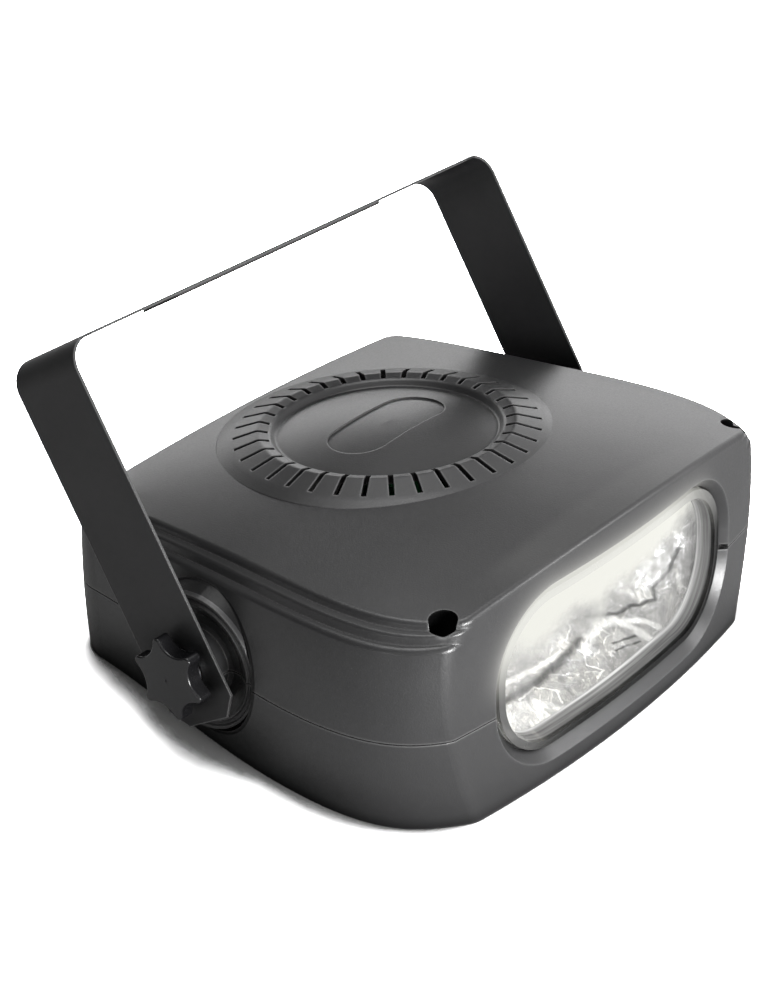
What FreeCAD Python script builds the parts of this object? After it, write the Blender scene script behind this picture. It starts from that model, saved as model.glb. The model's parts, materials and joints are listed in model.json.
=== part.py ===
import FreeCAD, Part
import math
import os

from FreeCAD import Vector

# Xenon stroboscope, in millimetres. X runs to the right of someone facing the window,
# +Y to the back, +Z up. The origin is on the flat underside, below the middle of the vent ring.

# ---- driving dimensions -------------------------------------------------------------------

# Housing walls. Each level is a height, the radius of the back corners and the half widths at
# the back, beside the pivot and at the widest place, then the front corner point and where the
# walls run out past the front face.
WALL = 2.6
BACK_Y = 75.6
PIVOT_SIDE_Y = -10.0
WIDEST_Y = -57.0
BASE_LEVEL = (0.0, 17.0, 100.9, 113.0, 117.0, (107.0, -95.5), (69.0, -122.0))
PARTING_LEVEL = (36.0, 17.0, 104.2, 115.4, 121.0, (110.0, -96.5), (71.0, -122.0))
SHOULDER_LEVEL = (70.0, 11.0, 99.5, 109.0, 114.5, (106.5, -95.5), (71.0, -122.0))
TOP_LEVEL = (98.0, 8.5, 92.0, 99.5, 105.0, (99.0, -92.0), (71.0, -122.0))
LEVELS = (BASE_LEVEL, PARTING_LEVEL, SHOULDER_LEVEL, TOP_LEVEL)
SIDE_START = (0.12, -1.0)
SIDE_END = (-0.85, -0.5)
CORNER_INSET_SHARE = (0.75, 0.65)

# Front face: bowed in plan and leaning back.
FRONT_Y = -118.0
FRONT_BOW_R = 600.0
FRONT_LEAN = 0.09
FRONT_WALL = 5.5

# Crowned top: its apex line falls to the back, and it falls away to both sides.
CROWN_Y = 2.7
CROWN_Z = 82.9
CROWN_SLOPE = 0.127
CROWN_FALL_FRONT = 0.00053
CROWN_FALL_BACK = 0.00115
CROWN_R_FRONT = 560.0
CROWN_R_BACK = 1150.0
CROWN_HALF = 135.0
CROWN_STATIONS = (-125.0, -80.0, -35.0, 5.0, 45.0, 85.0)

# Stepped shoulder along both sides: plateau, convex band, ledge.
PLATEAU_STEP = 5.6
BAND_STEP = 2.6
BAND_DROP = 2.6
SHOULDER_DROP = 5.8
SHOULDER_EDGE_R = 2.4
BAND_EDGE_R = 1.1
PLATEAU_EDGE_R = 2.0
FRONT_CORNER_R = 9.0
TIER_CUT_Z = 45.0
BACK_STEP_SHARE = 0.2
CORNER_STEP_SHARE = 0.9
FRONT_STEP_SHARE = 0.12

# The joint between the shells rises to the front.
PARTING_Z = 35.0
PARTING_RISE = 0.033
PARTING_GAP = 0.4
TONGUE_H = 2.2
TONGUE_T = 1.2

# Vent ring and dome, in a plane that falls to the back with the top.
RING_Z = 81.54
RING_TILT = 7.25
SLOT_COUNT = 36
SLOT_W = 2.0
SLOT_OUTER_R = 60.0
SLOT_INNER_R = 46.2
DOME_Z = 3.8
CREST_R = 50.15
CREST_Z = 2.85
RING_PROFILE = ((42.2, -0.55), (43.2, -0.75), (45.6, 1.75), (CREST_R, CREST_Z), (61.5, -0.45), (66.5, -2.3))
RING_EASE = 0.7
CAP_T = 2.6
CAP_OVERLAP = 4.0
OBROUND_R = 12.5
OBROUND_HALF = 16.5
OBROUND_DEPTH = 0.7

# Window: a rounded opening with a bevelled rim.
WINDOW_Z = 43.6
RIM_HALF_W = 78.5
RIM_HALF_H = 37.2
RIM_R = 33.0
RIM_R_SHARE = 0.8
RIM_BEVEL = 4.6
LENS_GAP = 0.8
LENS_T = 1.8
LENS_RECESS = 2.6
LENS_DEPTH = 8.0
LENS_DRAFT = 0.14
LENS_RIM_T = 1.2
FLANGE_NEAR = 6.2
FLANGE_FAR = 8.2
FLANGE_INSET = 1.1
GROOVE_FAR = 8.5
GROOVE_INSET = 0.8
FRAME_FAR = 9.9
FRAME_OUTER_INSET = -2.2
FRAME_INNER_INSET = 3.1

# Slots beside the window where a blade parts the shells: from, to, height and depth.
NOTCH = (73.0, 77.6, 2.2, 3.4)

# Bracket, knobs and pivot.
PIVOT_Y = -4.1
BRACKET_TILT = 34.8
STRIP_W = 36.0
STRIP_T = 1.0
BRACKET_HALF_W = 124.0
BAR_DISTANCE = 123.8
ARM_END = 21.2
ARM_CHAMFER = 7.3
BEND_R = 10.5
PLATE_HALF_L = 61.0
PLATE_HALF_W = 12.0
PLATE_T = 1.1
PLATE_CORNER_R = 4.0
HANG_HOLE_R = 5.25
SIDE_HOLE_R = 3.25
SIDE_HOLE_X = 40.0
STUD_R = 3.0
STUD_CLEARANCE = 0.05
KNOB_R = 16.0
KNOB_TIP_R = 1.8
KNOB_VALLEY_R = 11.4
KNOB_H = 8.6
KNOB_DOME = 0.9
KNOB_LOBES = 6
KNOB_EDGE_R = 0.8
KNOB_TURN = 22.0
COLLAR_R = 9.0
COLLAR_H = 1.4
HEAD_LIFT = 1.2
STUD_IN_KNOB = 4.5
BOSS_X = 116.5
BOSS_R = 27.0
BOSS_ROOT_X = 104.0
DISH_DEPTH = 3.2
HUB_R = 13.0
HUB_ROOT_X = 96.0
HUB_ROOT_R = 9.5
PAD_T = 1.6
INSERT_R = 4.6
INSERT_X = (101.0, 119.0)
BODY_GAP = 0.3
WASHER_T = 1.2
WASHER_R = 9.0
STUD_END_X = 104.0

# Case screws: two down the wells at the front, two up through the underside at the back.
FRONT_SCREW = (94.5, -96.0)
WELL_R = 5.0
WELL_FLOOR_Z = 56.0
WELL_WALL_R = 6.8
REAR_SCREW = (86.0, 60.0)
REAR_POST_R = 5.4
REAR_HEAD_Z = 4.0
SCREW_R = 1.5
SCREW_CLEARANCE = 0.05
SCREW_HEAD_R = 2.9
SCREW_HEAD_H = 2.2
SCREW_SOCKET_R = 1.4
SCREW_SOCKET_H = 1.2
FRONT_SCREW_END_Z = 16.0
REAR_SCREW_END_Z = 48.0
BOARD_SCREW_END_Z = 5.0

# Air slots through the underside.
AIR_SLOT_W = 2.5
AIR_SLOT_Y = (-14.0, 22.0)
AIR_SLOTS_FROM = 30
AIR_SLOTS_TO = 66
AIR_SLOT_PITCH = 7

# Reflector and flash tube.
REFLECTOR_T = 1.2
REFLECTOR_RIM_Y = -93.5
REFLECTOR_RIM = (70.5, 30.2, 25.0)
REFLECTOR_BACK_Y = -54.0
REFLECTOR_BACK = (48.0, 17.0, 8.0)
TUBE_Y = -80.0
TUBE_Z = 52.0
TUBE_R = 4.0
TUBE_WALL = 1.0
TUBE_HALF = 46.0
TUBE_END_TAPER = 1.4
PIN_R = 0.8
PIN_END_X = 53.0
HOLDER_X = 41.5
HOLDER_HALF_T = 2.2
HOLDER_GRIP_T = 2.5
HOLDER_LEG_HALF = 3.0
BAND_X = (-30, 0, 30)
LEAD_R = 1.1
LEAD_X = 57.0
LEAD_HOLE_GAP = 1.5
REFLECTOR_FLANGE = 2.5
RIVET_X = 12.0
RIVET_R = 1.6
RIVET_HEAD_R = 2.8

# Circuit board, on posts that also carry the foot of the reflector bracket.
BOARD_Z = 12.0
BOARD_T = 1.6
BOARD_HALF_W = 78.0
BOARD_FRONT_Y = -38.0
BOARD_BACK_Y = 54.0
BOARD_POSTS = ((70.0, -30.0), (70.0, 46.0), (14.0, -46.0))
POST_R = 3.8
BOARD_HOLE_R = 1.7
BRACKET_FOOT_HALF = 20.0
BRACKET_FOOT_TOP_Z = 52.0
CAPACITOR_X = (-48, -18)
CAPACITOR_Y = 6.0
DIODE_X = (44, 52, 60, 68)
DIODE_Z = 5.0
TERMINAL_X = (49, 59)

# Rear fittings, on one line across the back wall.
REAR_Z = 20.0
RATE_X = -45.0
FUSE_X = 38.0
GLAND_X = 72.0
RATE_KNOB_R = 9.5
RATE_KNOB_FLUTES = 12
BUSHING_R = 3.9
FUSE_BODY_R = 6.2
FUSE_CAP_R = 7.5
GLAND_THREAD_R = 6.0
GLAND_BORE_R = 3.2

# Reaches well past the part, to cut and keep whole regions of it.
BIG = 400.0
BELOW = -20.0
ABOVE = 110.0
X_AXIS = Vector(1, 0, 0)
Y_AXIS = Vector(0, 1, 0)
Z_AXIS = Vector(0, 0, 1)
SIDES = (-1, 1)


# ---- small helpers ------------------------------------------------------------------------

def fuse(shapes):
    """One solid, or a group of solids where they don't touch."""
    result = shapes[0]
    for shape in shapes[1:]:
        result = result.fuse(shape)
    return result.removeSplitter()


def box(x0, x1, y0, y1, z0, z1):
    return Part.makeBox(x1 - x0, y1 - y0, z1 - z0, Vector(x0, y0, z0))


def rod(radius, start, end):
    """A round rod from start to end."""
    along = end.sub(start)
    return Part.makeCylinder(radius, along.Length, start, along)


def tube(outer, inner, start, end):
    return rod(outer, start, end).cut(rod(inner, start, end))


def turned(radius, degrees):
    angle = math.radians(degrees)
    return Vector(radius * math.cos(angle), radius * math.sin(angle), 0)


def revolved(profile, origin, axis_rotation):
    """Revolve a closed (radius, height) polygon about +Z, then turn and place it."""
    points = [Vector(r, 0, h) for r, h in profile]
    face = Part.Face(Part.makePolygon(points + points[:1]))
    solid = face.revolve(Vector(0, 0, 0), Z_AXIS, 360)
    solid.Placement = FreeCAD.Placement(origin, axis_rotation)
    return solid


def facing_x(side):
    """The rotation that turns +Z to point out of the left (-1) or right (1) side."""
    return FreeCAD.Rotation(Z_AXIS, Vector(side, 0, 0))


def mirrored(shape):
    return shape.mirror(Vector(0, 0, 0), X_AXIS)


# ---- housing outline ----------------------------------------------------------------------

def wall_wire(level, inset=0.0, step=0.0):
    """The housing's plan outline at one level, moved in by the inset all round and by the
    step along the sides. It runs past the front face, which is trimmed afterwards."""
    z, corner_r, back, beside, widest, corner, front = level
    back_y = BACK_Y - inset - BACK_STEP_SHARE * step
    back_x = back - inset - step
    r = corner_r - inset / 2 - CORNER_STEP_SHARE * step
    k = r * (1 - math.sqrt(0.5))
    across, back_share = CORNER_INSET_SHARE
    side = [Vector(back_x, back_y - r, z),
            Vector(beside - inset - step, PIVOT_SIDE_Y, z),
            Vector(widest - inset - step, WIDEST_Y, z),
            Vector(corner[0] - across * (inset + step), corner[1] + back_share * (inset + step), z),
            Vector(front[0] - inset - FRONT_STEP_SHARE * step, front[1], z)]
    curve = Part.BSplineCurve()
    curve.interpolate(Points=side, InitialTangent=Vector(*SIDE_START, 0), FinalTangent=Vector(*SIDE_END, 0))
    right = [Part.LineSegment(Vector(0, back_y, z), Vector(back_x - r, back_y, z)).toShape(),
             Part.Arc(Vector(back_x - r, back_y, z), Vector(back_x - k, back_y - k, z), side[0]).toShape(),
             curve.toShape(),
             Part.LineSegment(side[-1], Vector(0, front[1], z)).toShape()]
    left = [mirrored(edge) for edge in reversed(right)]
    return Part.Wire(Part.__sortEdges__(right + left))


def crown_apex(y):
    fall = CROWN_FALL_FRONT if y < CROWN_Y else CROWN_FALL_BACK
    return CROWN_Z - CROWN_SLOPE * (y - CROWN_Y) - fall * (y - CROWN_Y) ** 2


def crown_radius(y):
    if y < 0:
        return CROWN_R_FRONT
    return CROWN_R_FRONT + (CROWN_R_BACK - CROWN_R_FRONT) * (y / BACK_Y) ** 2


def crown_z(x, y):
    return crown_apex(y) - x * x / (2 * crown_radius(y))


def under_crown(drop):
    """Everything below the crowned top, lowered by the drop."""
    half = CROWN_HALF
    sections = []
    for y in CROWN_STATIONS:
        top = crown_apex(y) - drop
        edge = crown_z(half, y) - drop
        corners = [Vector(x, y, z) for x, z in ((half, edge), (half, BELOW), (-half, BELOW), (-half, edge))]
        edges = [Part.Arc(corners[3], Vector(0, y, top), corners[0]).toShape()]
        edges += [Part.LineSegment(a, b).toShape() for a, b in zip(corners, corners[1:])]
        sections.append(Part.Wire(edges))
    return Part.makeLoft(sections, True, False)


def behind_front(offset):
    """Everything behind the bowed, leaning front face, moved back by the offset."""
    centre_y = FRONT_Y + offset + FRONT_BOW_R
    disc = Part.Face(Part.Wire(Part.makeCircle(FRONT_BOW_R, Vector(0, centre_y, 0))))
    prism = disc.extrude(Vector(0, FRONT_LEAN, 1) * ABOVE)
    return prism.common(box(-BIG, BIG, -BIG, BACK_Y + WALL, BELOW, ABOVE))


def stepped_block(inset, front_offset, step, drop):
    walls = Part.makeLoft([wall_wire(level, inset, step) for level in LEVELS], True, False)
    return walls.common(under_crown(drop + inset)).common(behind_front(front_offset)).Solids[0]


def rounded_block(step, drop, edge_r):
    """One tier of the outside, with its front corners and its top edge rounded."""
    block = stepped_block(0, 0, step, drop)
    tall = [e for e in block.Edges if e.BoundBox.ZLength > TOP_LEVEL[0] / 2 and e.BoundBox.YMax < WIDEST_Y]
    block = block.makeFillet(FRONT_CORNER_R, [e for e in tall if abs(e.BoundBox.Center.x) < BRACKET_HALF_W])
    top = max((f for f in block.Faces if f.BoundBox.XLength > BACK_Y), key=lambda f: f.BoundBox.Center.z)
    return block.makeFillet(edge_r, top.Edges)


def housing_outside():
    """Three tiers: the walls, the convex band and the plateau. The upper tiers only show near the top."""
    upper_part = box(-BIG, BIG, -BIG, BIG, TIER_CUT_Z, BIG)
    walls = rounded_block(0, SHOULDER_DROP, SHOULDER_EDGE_R)
    band = rounded_block(BAND_STEP, BAND_DROP, BAND_EDGE_R).common(upper_part)
    plateau = rounded_block(PLATEAU_STEP, 0, PLATEAU_EDGE_R).common(upper_part)
    return walls.fuse([band, plateau]).Solids[0]


def housing_inside():
    tall = stepped_block(WALL, FRONT_WALL, PLATEAU_STEP, 0)
    wide = stepped_block(WALL, FRONT_WALL, 0, SHOULDER_DROP)
    upper_part = box(-BIG, BIG, -BIG, BIG, TIER_CUT_Z, BIG)
    floor = box(-BIG, BIG, -BIG, BIG, BELOW, WALL)
    return wide.fuse(tall.common(upper_part)).cut(floor)


def above_joint(offset):
    """Everything above the joint plane between the shells, raised by the offset."""
    slab = box(-BIG, BIG, -BIG, BIG, 0, BIG)
    tilt = FreeCAD.Rotation(X_AXIS, -math.degrees(math.atan(PARTING_RISE)))
    slab.Placement = FreeCAD.Placement(Vector(0, 0, PARTING_Z + offset), tilt)
    return slab


def joint_z(y):
    return PARTING_Z - PARTING_RISE * y


# ---- window -------------------------------------------------------------------------------

def rounded_rectangle(half_w, half_h, r, y, centre_z=WINDOW_Z):
    """A closed wire in the plane across Y, with round corners."""
    k = r * (1 - math.sqrt(0.5))
    edges = []
    for sx, sz in ((1, 1), (-1, 1), (-1, -1), (1, -1)):
        ends = [Vector(sx * half_w, y, centre_z + sz * (half_h - r)),
                Vector(sx * (half_w - k), y, centre_z + sz * (half_h - k)),
                Vector(sx * (half_w - r), y, centre_z + sz * half_h)]
        if sx * sz < 0:
            ends.reverse()
        edges.append(ends)
    lines = [Part.LineSegment(a[2], b[0]).toShape() for a, b in zip(edges, edges[1:] + edges[:1])]
    arcs = [Part.Arc(*ends).toShape() for ends in edges]
    return Part.Wire([edge for pair in zip(arcs, lines) for edge in pair])


def window_outline(inset, y):
    return rounded_rectangle(RIM_HALF_W - inset, RIM_HALF_H - inset, RIM_R - RIM_R_SHARE * inset, y)


def window_prism(inset):
    """The window outline, moved in by the inset and run right through the front wall."""
    return Part.Face(window_outline(inset, FRONT_Y - 7)).extrude(Y_AXIS * 40)


def front_slab(near, far):
    """What lies between two offsets of the front face."""
    return behind_front(near).cut(behind_front(far))


def with_window(block):
    block = block.cut(window_prism(RIM_BEVEL)).Solids[0]
    rim = [e for e in block.Edges if on_front(e) and abs(e.BoundBox.Center.x) < RIM_HALF_W]
    return block.makeChamfer(RIM_BEVEL - LENS_GAP, [e for e in rim if inside_rim(e)])


def window_notches():
    """The slots beside the window where a blade parts the two shells."""
    start, end, height, depth = NOTCH
    low = joint_z(FRONT_Y) - height / 2
    slab = front_slab(-1, depth)
    notches = []
    for side in SIDES:
        x0, x1 = sorted((side * start, side * end))
        notches.append(slab.common(box(x0, x1, FRONT_Y - 12, FRONT_Y + 18, low, low + height)))
    return notches


def inside_rim(edge):
    b = edge.BoundBox
    inside_x = max(abs(b.XMin), abs(b.XMax)) < RIM_HALF_W
    return inside_x and b.ZMin > WINDOW_Z - RIM_HALF_H and b.ZMax < WINDOW_Z + RIM_HALF_H


def on_front(edge):
    middle = edge.valueAt((edge.FirstParameter + edge.LastParameter) / 2)
    bow = FRONT_BOW_R - math.sqrt(FRONT_BOW_R ** 2 - middle.x ** 2)
    return abs(middle.y - (FRONT_Y + bow + FRONT_LEAN * middle.z)) < 0.05


# ---- vent ring ----------------------------------------------------------------------------

def ring_placement(z=0.0):
    tilt = FreeCAD.Rotation(X_AXIS, -RING_TILT)
    origin = Vector(0, CROWN_Y, RING_Z).add(tilt.multVec(Vector(0, 0, z)))
    return FreeCAD.Placement(origin, tilt)


def placed_on_ring(shape, z=0.0):
    shape.Placement = ring_placement(z).multiply(shape.Placement)
    return shape


def dome_arc(top_z, edge_r, edge_z):
    """The arc of a sphere from the axis out to the dome's edge."""
    rise = top_z - edge_z
    radius = (edge_r ** 2 + rise ** 2) / (2 * rise)
    middle_r = edge_r / 2
    middle_z = top_z - radius + math.sqrt(radius ** 2 - middle_r ** 2)
    return Part.Arc(Vector(0, 0, top_z), Vector(middle_r, 0, middle_z), Vector(edge_r, 0, edge_z)).toShape()


def soft_corners(points, cut):
    """The edges of an open line through the points, with every inner corner eased by the cut."""
    edges = []
    start = points[0]
    for before, corner, after in zip(points, points[1:], points[2:]):
        near = corner.add(before.sub(corner).normalize() * cut)
        far = corner.add(after.sub(corner).normalize() * cut)
        ease = Part.BezierCurve()
        ease.setPoles([near, corner, far])
        edges += [Part.LineSegment(start, near).toShape(), ease.toShape()]
        start = far
    return edges + [Part.LineSegment(start, points[-1]).toShape()]


def vent_cap():
    """The dome, the moat round it and the two cones of the ring, revolved with an even thickness."""
    dome_top = Vector(0, 0, DOME_Z)
    ring = [Vector(r, 0, z) for r, z in RING_PROFILE]
    drop = Vector(0, 0, -CAP_T)
    rim, under_moat = ring[-1].add(drop), ring[0].add(drop).add(Vector(1, 0, 0))
    under_crest = Vector(CREST_R + 1, 0, CREST_Z - CAP_T)
    edges = soft_corners(ring, RING_EASE)
    edges += [dome_arc(DOME_Z, ring[0].x, ring[0].z),
              Part.LineSegment(ring[-1], rim).toShape(),
              Part.LineSegment(rim, under_crest).toShape(),
              Part.LineSegment(under_crest, under_moat).toShape(),
              dome_arc(DOME_Z - CAP_T, under_moat.x, under_moat.z),
              Part.LineSegment(dome_top.add(drop), dome_top).toShape()]
    return Part.Face(Part.Wire(Part.__sortEdges__(edges))).revolve(Vector(0, 0, 0), Z_AXIS, 360)


def obround(half, r, z0, z1):
    middle = box(-half, half, -r, r, z0, z1)
    ends = [rod(r, Vector(s * half, 0, z0), Vector(s * half, 0, z1)) for s in SIDES]
    return fuse([middle] + ends)


def vent_slots():
    slots = []
    reach = 3 * CAP_T
    for i in range(SLOT_COUNT):
        slot = box(SLOT_INNER_R, SLOT_OUTER_R, -SLOT_W / 2, SLOT_W / 2, -reach, reach)
        slot.rotate(Vector(0, 0, 0), Z_AXIS, 360.0 * i / SLOT_COUNT)
        slots.append(slot)
    return placed_on_ring(Part.makeCompound(slots))


def with_vents(upper):
    cap = vent_cap()
    recess = obround(OBROUND_HALF, OBROUND_R, 0, 3 * DOME_Z)
    recess = recess.cut(cap.translated(Z_AXIS * -OBROUND_DEPTH))
    cap = placed_on_ring(cap.cut(recess))
    hole_r, hole_half = RING_PROFILE[-1][0] - CAP_OVERLAP, 12
    hole = placed_on_ring(Part.makeCylinder(hole_r, 2 * hole_half, Vector(0, 0, -hole_half)))
    return upper.cut(hole).fuse(cap).cut(vent_slots())


# ---- pivot bosses, screw posts and the tongue ---------------------------------------------

def pivot_point(x=0.0):
    return Vector(x, PIVOT_Y, joint_z(PIVOT_Y))


def boss(side):
    """A stepped round boss: outer bead, groove, second bead, dish and hub."""
    hub_top = BRACKET_HALF_W - STRIP_T - BODY_GAP - PAD_T
    dish_x = BOSS_X - DISH_DEPTH
    profile = [(0, HUB_ROOT_X), (HUB_ROOT_R, HUB_ROOT_X), (HUB_ROOT_R, BOSS_ROOT_X),
               (BOSS_R + 2.5, BOSS_ROOT_X), (BOSS_R + 2.5, BOSS_X - 6),
               (BOSS_R + 0.6, BOSS_X - 1), (BOSS_R, BOSS_X + 0.3), (BOSS_R - 0.9, BOSS_X + 0.3),
               (BOSS_R - 1.6, BOSS_X - 0.7), (BOSS_R - 2.6, BOSS_X - 0.7), (BOSS_R - 3.2, BOSS_X),
               (BOSS_R - 4.0, BOSS_X - 0.1), (BOSS_R - 9, dish_x), (HUB_R + 1.6, dish_x),
               (HUB_R, dish_x + 1), (HUB_R, hub_top - 0.8), (HUB_R - 0.8, hub_top), (0, hub_top)]
    return revolved(profile, pivot_point(), facing_x(side))


def pivot_rod(radius, side, start, end=BRACKET_HALF_W + 6):
    return rod(radius, pivot_point(side * start), pivot_point(side * end))


def with_bosses(shell):
    """Adds the bosses, cutting away the wall where it bulges out past the outer bead."""
    for side in SIDES:
        shell = shell.cut(pivot_rod(BOSS_R + 1.3, side, BOSS_X - DISH_DEPTH)).fuse(boss(side))
        shell = shell.cut(pivot_rod(INSERT_R, side, BOSS_ROOT_X - 14))
    return shell


def both_sides(x, y):
    return [Vector(side * x, y, 0) for side in SIDES]


def upright(radius, place, z0, z1):
    return rod(radius, Vector(place.x, place.y, z0), Vector(place.x, place.y, z1))


def tongue(thickness):
    """The thin rim of the lower shell that stands up inside the wall of the upper one. Its
    foot is sunk in the lower wall, and the upper wall is cut back by a slightly thicker one."""
    insets = (WALL - TONGUE_T, WALL - TONGUE_T + thickness)
    blocks = []
    for inset in insets:
        block = Part.makeLoft([wall_wire(level, inset) for level in LEVELS[:3]], True, False)
        blocks.append(block.common(behind_front(inset + FRONT_WALL - WALL)))
    outer, inner = blocks
    rim = outer.cut(inner).common(above_joint(-1.2).cut(above_joint(TONGUE_H)))
    for side in SIDES:
        rim = rim.cut(pivot_rod(BOSS_R + 4, side, BOSS_ROOT_X - 24))
    return rim.cut(window_prism(RIM_BEVEL - TONGUE_T))


def screw_posts(outside):
    """Posts from the floor to the roof, which the joint between the shells cuts in two."""
    posts = [upright(WELL_WALL_R, place, 1, ABOVE) for place in both_sides(*FRONT_SCREW)]
    posts += [upright(REAR_POST_R, place, 1, ABOVE) for place in both_sides(*REAR_SCREW)]
    return [post.common(outside) for post in posts]


def screw_holes():
    hole_r = SCREW_R + SCREW_CLEARANCE
    cuts = []
    for place in both_sides(*FRONT_SCREW):
        cuts.append(upright(WELL_R, place, WELL_FLOOR_Z, ABOVE))
        cuts.append(upright(hole_r, place, FRONT_SCREW_END_Z - 4, WELL_FLOOR_Z + 1))
    for place in both_sides(*REAR_SCREW):
        cuts.append(upright(SCREW_HEAD_R + 0.6, place, -1, REAR_HEAD_Z + SCREW_HEAD_H))
        cuts.append(upright(hole_r, place, 0, REAR_SCREW_END_Z + 4))
    return cuts


def board_post_places():
    return [place for post in BOARD_POSTS for place in both_sides(*post)]


def lens_groove():
    """A frame behind the front wall, with the groove that the lens flange and its seal sit in."""
    frame = front_slab(FRONT_WALL - 0.3, FRAME_FAR)
    frame = frame.common(window_prism(FRAME_OUTER_INSET)).cut(window_prism(FRAME_INNER_INSET))
    return frame.cut(front_slab(FRONT_WALL - 1, GROOVE_FAR).common(window_prism(GROOVE_INSET)))


def underside_vents():
    half = AIR_SLOT_W / 2
    return [box(side * x - half, side * x + half, *AIR_SLOT_Y, -1, WALL + 1)
            for side in SIDES for x in range(AIR_SLOTS_FROM, AIR_SLOTS_TO, AIR_SLOT_PITCH)]


def rear_holes():
    holes = ((RATE_X, BUSHING_R), (FUSE_X, FUSE_BODY_R), (GLAND_X, GLAND_THREAD_R))
    return [rod(r + SCREW_CLEARANCE, rear_point(x, BACK_Y - 8), rear_point(x, BACK_Y + 5)) for x, r in holes]


def make_shells():
    outside = housing_outside()
    inside = housing_inside()
    shell = with_window(outside).cut(inside)
    shell = shell.fuse(screw_posts(outside) + [lens_groove()])
    shell = with_bosses(shell.cut(screw_holes() + window_notches()))
    upper = with_vents(shell.common(above_joint(PARTING_GAP / 2))).cut(tongue(TONGUE_T + 0.1))
    lower = shell.cut(above_joint(-PARTING_GAP / 2)).fuse(tongue(TONGUE_T - 0.1))
    posts = [upright(POST_R, place, 1, BOARD_Z) for place in board_post_places()]
    hole_r, hole_end = SCREW_R + SCREW_CLEARANCE, BOARD_SCREW_END_Z - 1
    post_holes = [upright(hole_r, place, hole_end, BOARD_Z + 1) for place in board_post_places()]
    lower = lower.fuse(posts).cut(post_holes + underside_vents() + rear_holes())
    return {"upper_shell": upper, "lower_shell": lower}


# ---- window, reflector and flash tube -----------------------------------------------------

def front_lens():
    """A clear dish: side walls that run in from the rim, a flat face at the bottom of them and
    a flange in the groove."""
    outer = RIM_BEVEL + LENS_GAP
    near, far = FRONT_Y - 4, FRONT_Y + 20
    sections = [window_outline(outer + LENS_RIM_T + LENS_DRAFT * (y - near), y) for y in (near, far)]
    hollow = Part.makeLoft(sections, True, True).cut(behind_front(LENS_RECESS + LENS_DEPTH))
    dish = front_slab(LENS_RECESS, LENS_RECESS + LENS_DEPTH + LENS_T).common(window_prism(outer))
    flange = front_slab(FLANGE_NEAR, FLANGE_FAR).common(window_prism(FLANGE_INSET))
    return dish.fuse(flange).cut(hollow)


def lens_seal():
    inner = window_prism(RIM_BEVEL + LENS_GAP - 0.1)
    return front_slab(FRONT_WALL, FLANGE_NEAR).common(window_prism(FLANGE_INSET)).cut(inner)


def trough(front_y, back_y, inset):
    half_w, half_h, r = REFLECTOR_RIM
    back_w, back_h, back_r = REFLECTOR_BACK
    rim = rounded_rectangle(half_w - inset, half_h - inset, r - inset, front_y)
    back = rounded_rectangle(back_w - inset, back_h - inset, back_r - inset, back_y)
    return Part.makeLoft([rim, back], True, True)


def reflector():
    rim = [size + REFLECTOR_FLANGE for size in REFLECTOR_RIM]
    flange = Part.Face(rounded_rectangle(*rim, REFLECTOR_RIM_Y)).extrude(Y_AXIS * REFLECTOR_T)
    body = trough(REFLECTOR_RIM_Y, REFLECTOR_BACK_Y, 0).fuse(flange)
    hollow = trough(REFLECTOR_RIM_Y, REFLECTOR_BACK_Y - REFLECTOR_T, REFLECTOR_T)
    holes = []
    for side in SIDES:
        start = tube_axis(side * LEAD_X).add(Y_AXIS * 2)
        holes.append(rod(LEAD_R + LEAD_HOLE_GAP, start, start.add(Y_AXIS * 28)))
    return body.cut([hollow] + holes + rivets())


def rivets(head_r=0):
    """The two rivets that join the reflector to its bracket, or just their holes."""
    made = []
    for side in SIDES:
        start = Vector(side * RIVET_X, REFLECTOR_BACK_Y - REFLECTOR_T, WINDOW_Z)
        end = start.add(Vector(0, REFLECTOR_T + BOARD_T, 0))
        rivet = rod(RIVET_R, start, end)
        if head_r:
            rivet = rivet.fuse([rod(head_r, start.sub(Y_AXIS), start), rod(head_r, end, end.add(Y_AXIS))])
        made.append(rivet)
    return made


def reflector_rivets():
    return Part.makeCompound(rivets(RIVET_HEAD_R))


def board_screw_holes():
    return [upright(BOARD_HOLE_R, place, 0, 2 * BOARD_Z) for place in board_post_places()]


def reflector_bracket():
    """A folded plate: upright against the back of the reflector, foot on two of the posts."""
    half, near = BRACKET_FOOT_HALF, REFLECTOR_BACK_Y
    upright_part = box(-half, half, near, near + BOARD_T, BOARD_Z, BRACKET_FOOT_TOP_Z)
    foot = box(-half, half, near, BOARD_FRONT_Y - 2, BOARD_Z, BOARD_Z + BOARD_T)
    return upright_part.fuse(foot).cut(board_screw_holes() + rivets())


def tube_axis(x):
    return Vector(x, TUBE_Y, TUBE_Z)


def xenon_tube():
    """A glass tube with a hollow between its sealed ends, where the pins come out."""
    bore, half, taper = TUBE_R - TUBE_WALL, TUBE_HALF, TUBE_END_TAPER
    profile = [(TUBE_R - taper, -half), (TUBE_R, taper - half), (TUBE_R, half - taper),
               (TUBE_R - taper, half), (PIN_R, half), (PIN_R, half - 2.5), (bore, half - 4),
               (bore, 4 - half), (PIN_R, 2.5 - half), (PIN_R, -half)]
    return revolved(profile, tube_axis(0), facing_x(1))


def tube_electrodes():
    electrodes = []
    for side in SIDES:
        pin = rod(PIN_R, tube_axis(side * 38), tube_axis(side * PIN_END_X))
        slug = rod(2.0, tube_axis(side * 34), tube_axis(side * 40))
        electrodes.append(pin.fuse(slug))
    return Part.makeCompound(electrodes)


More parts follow.
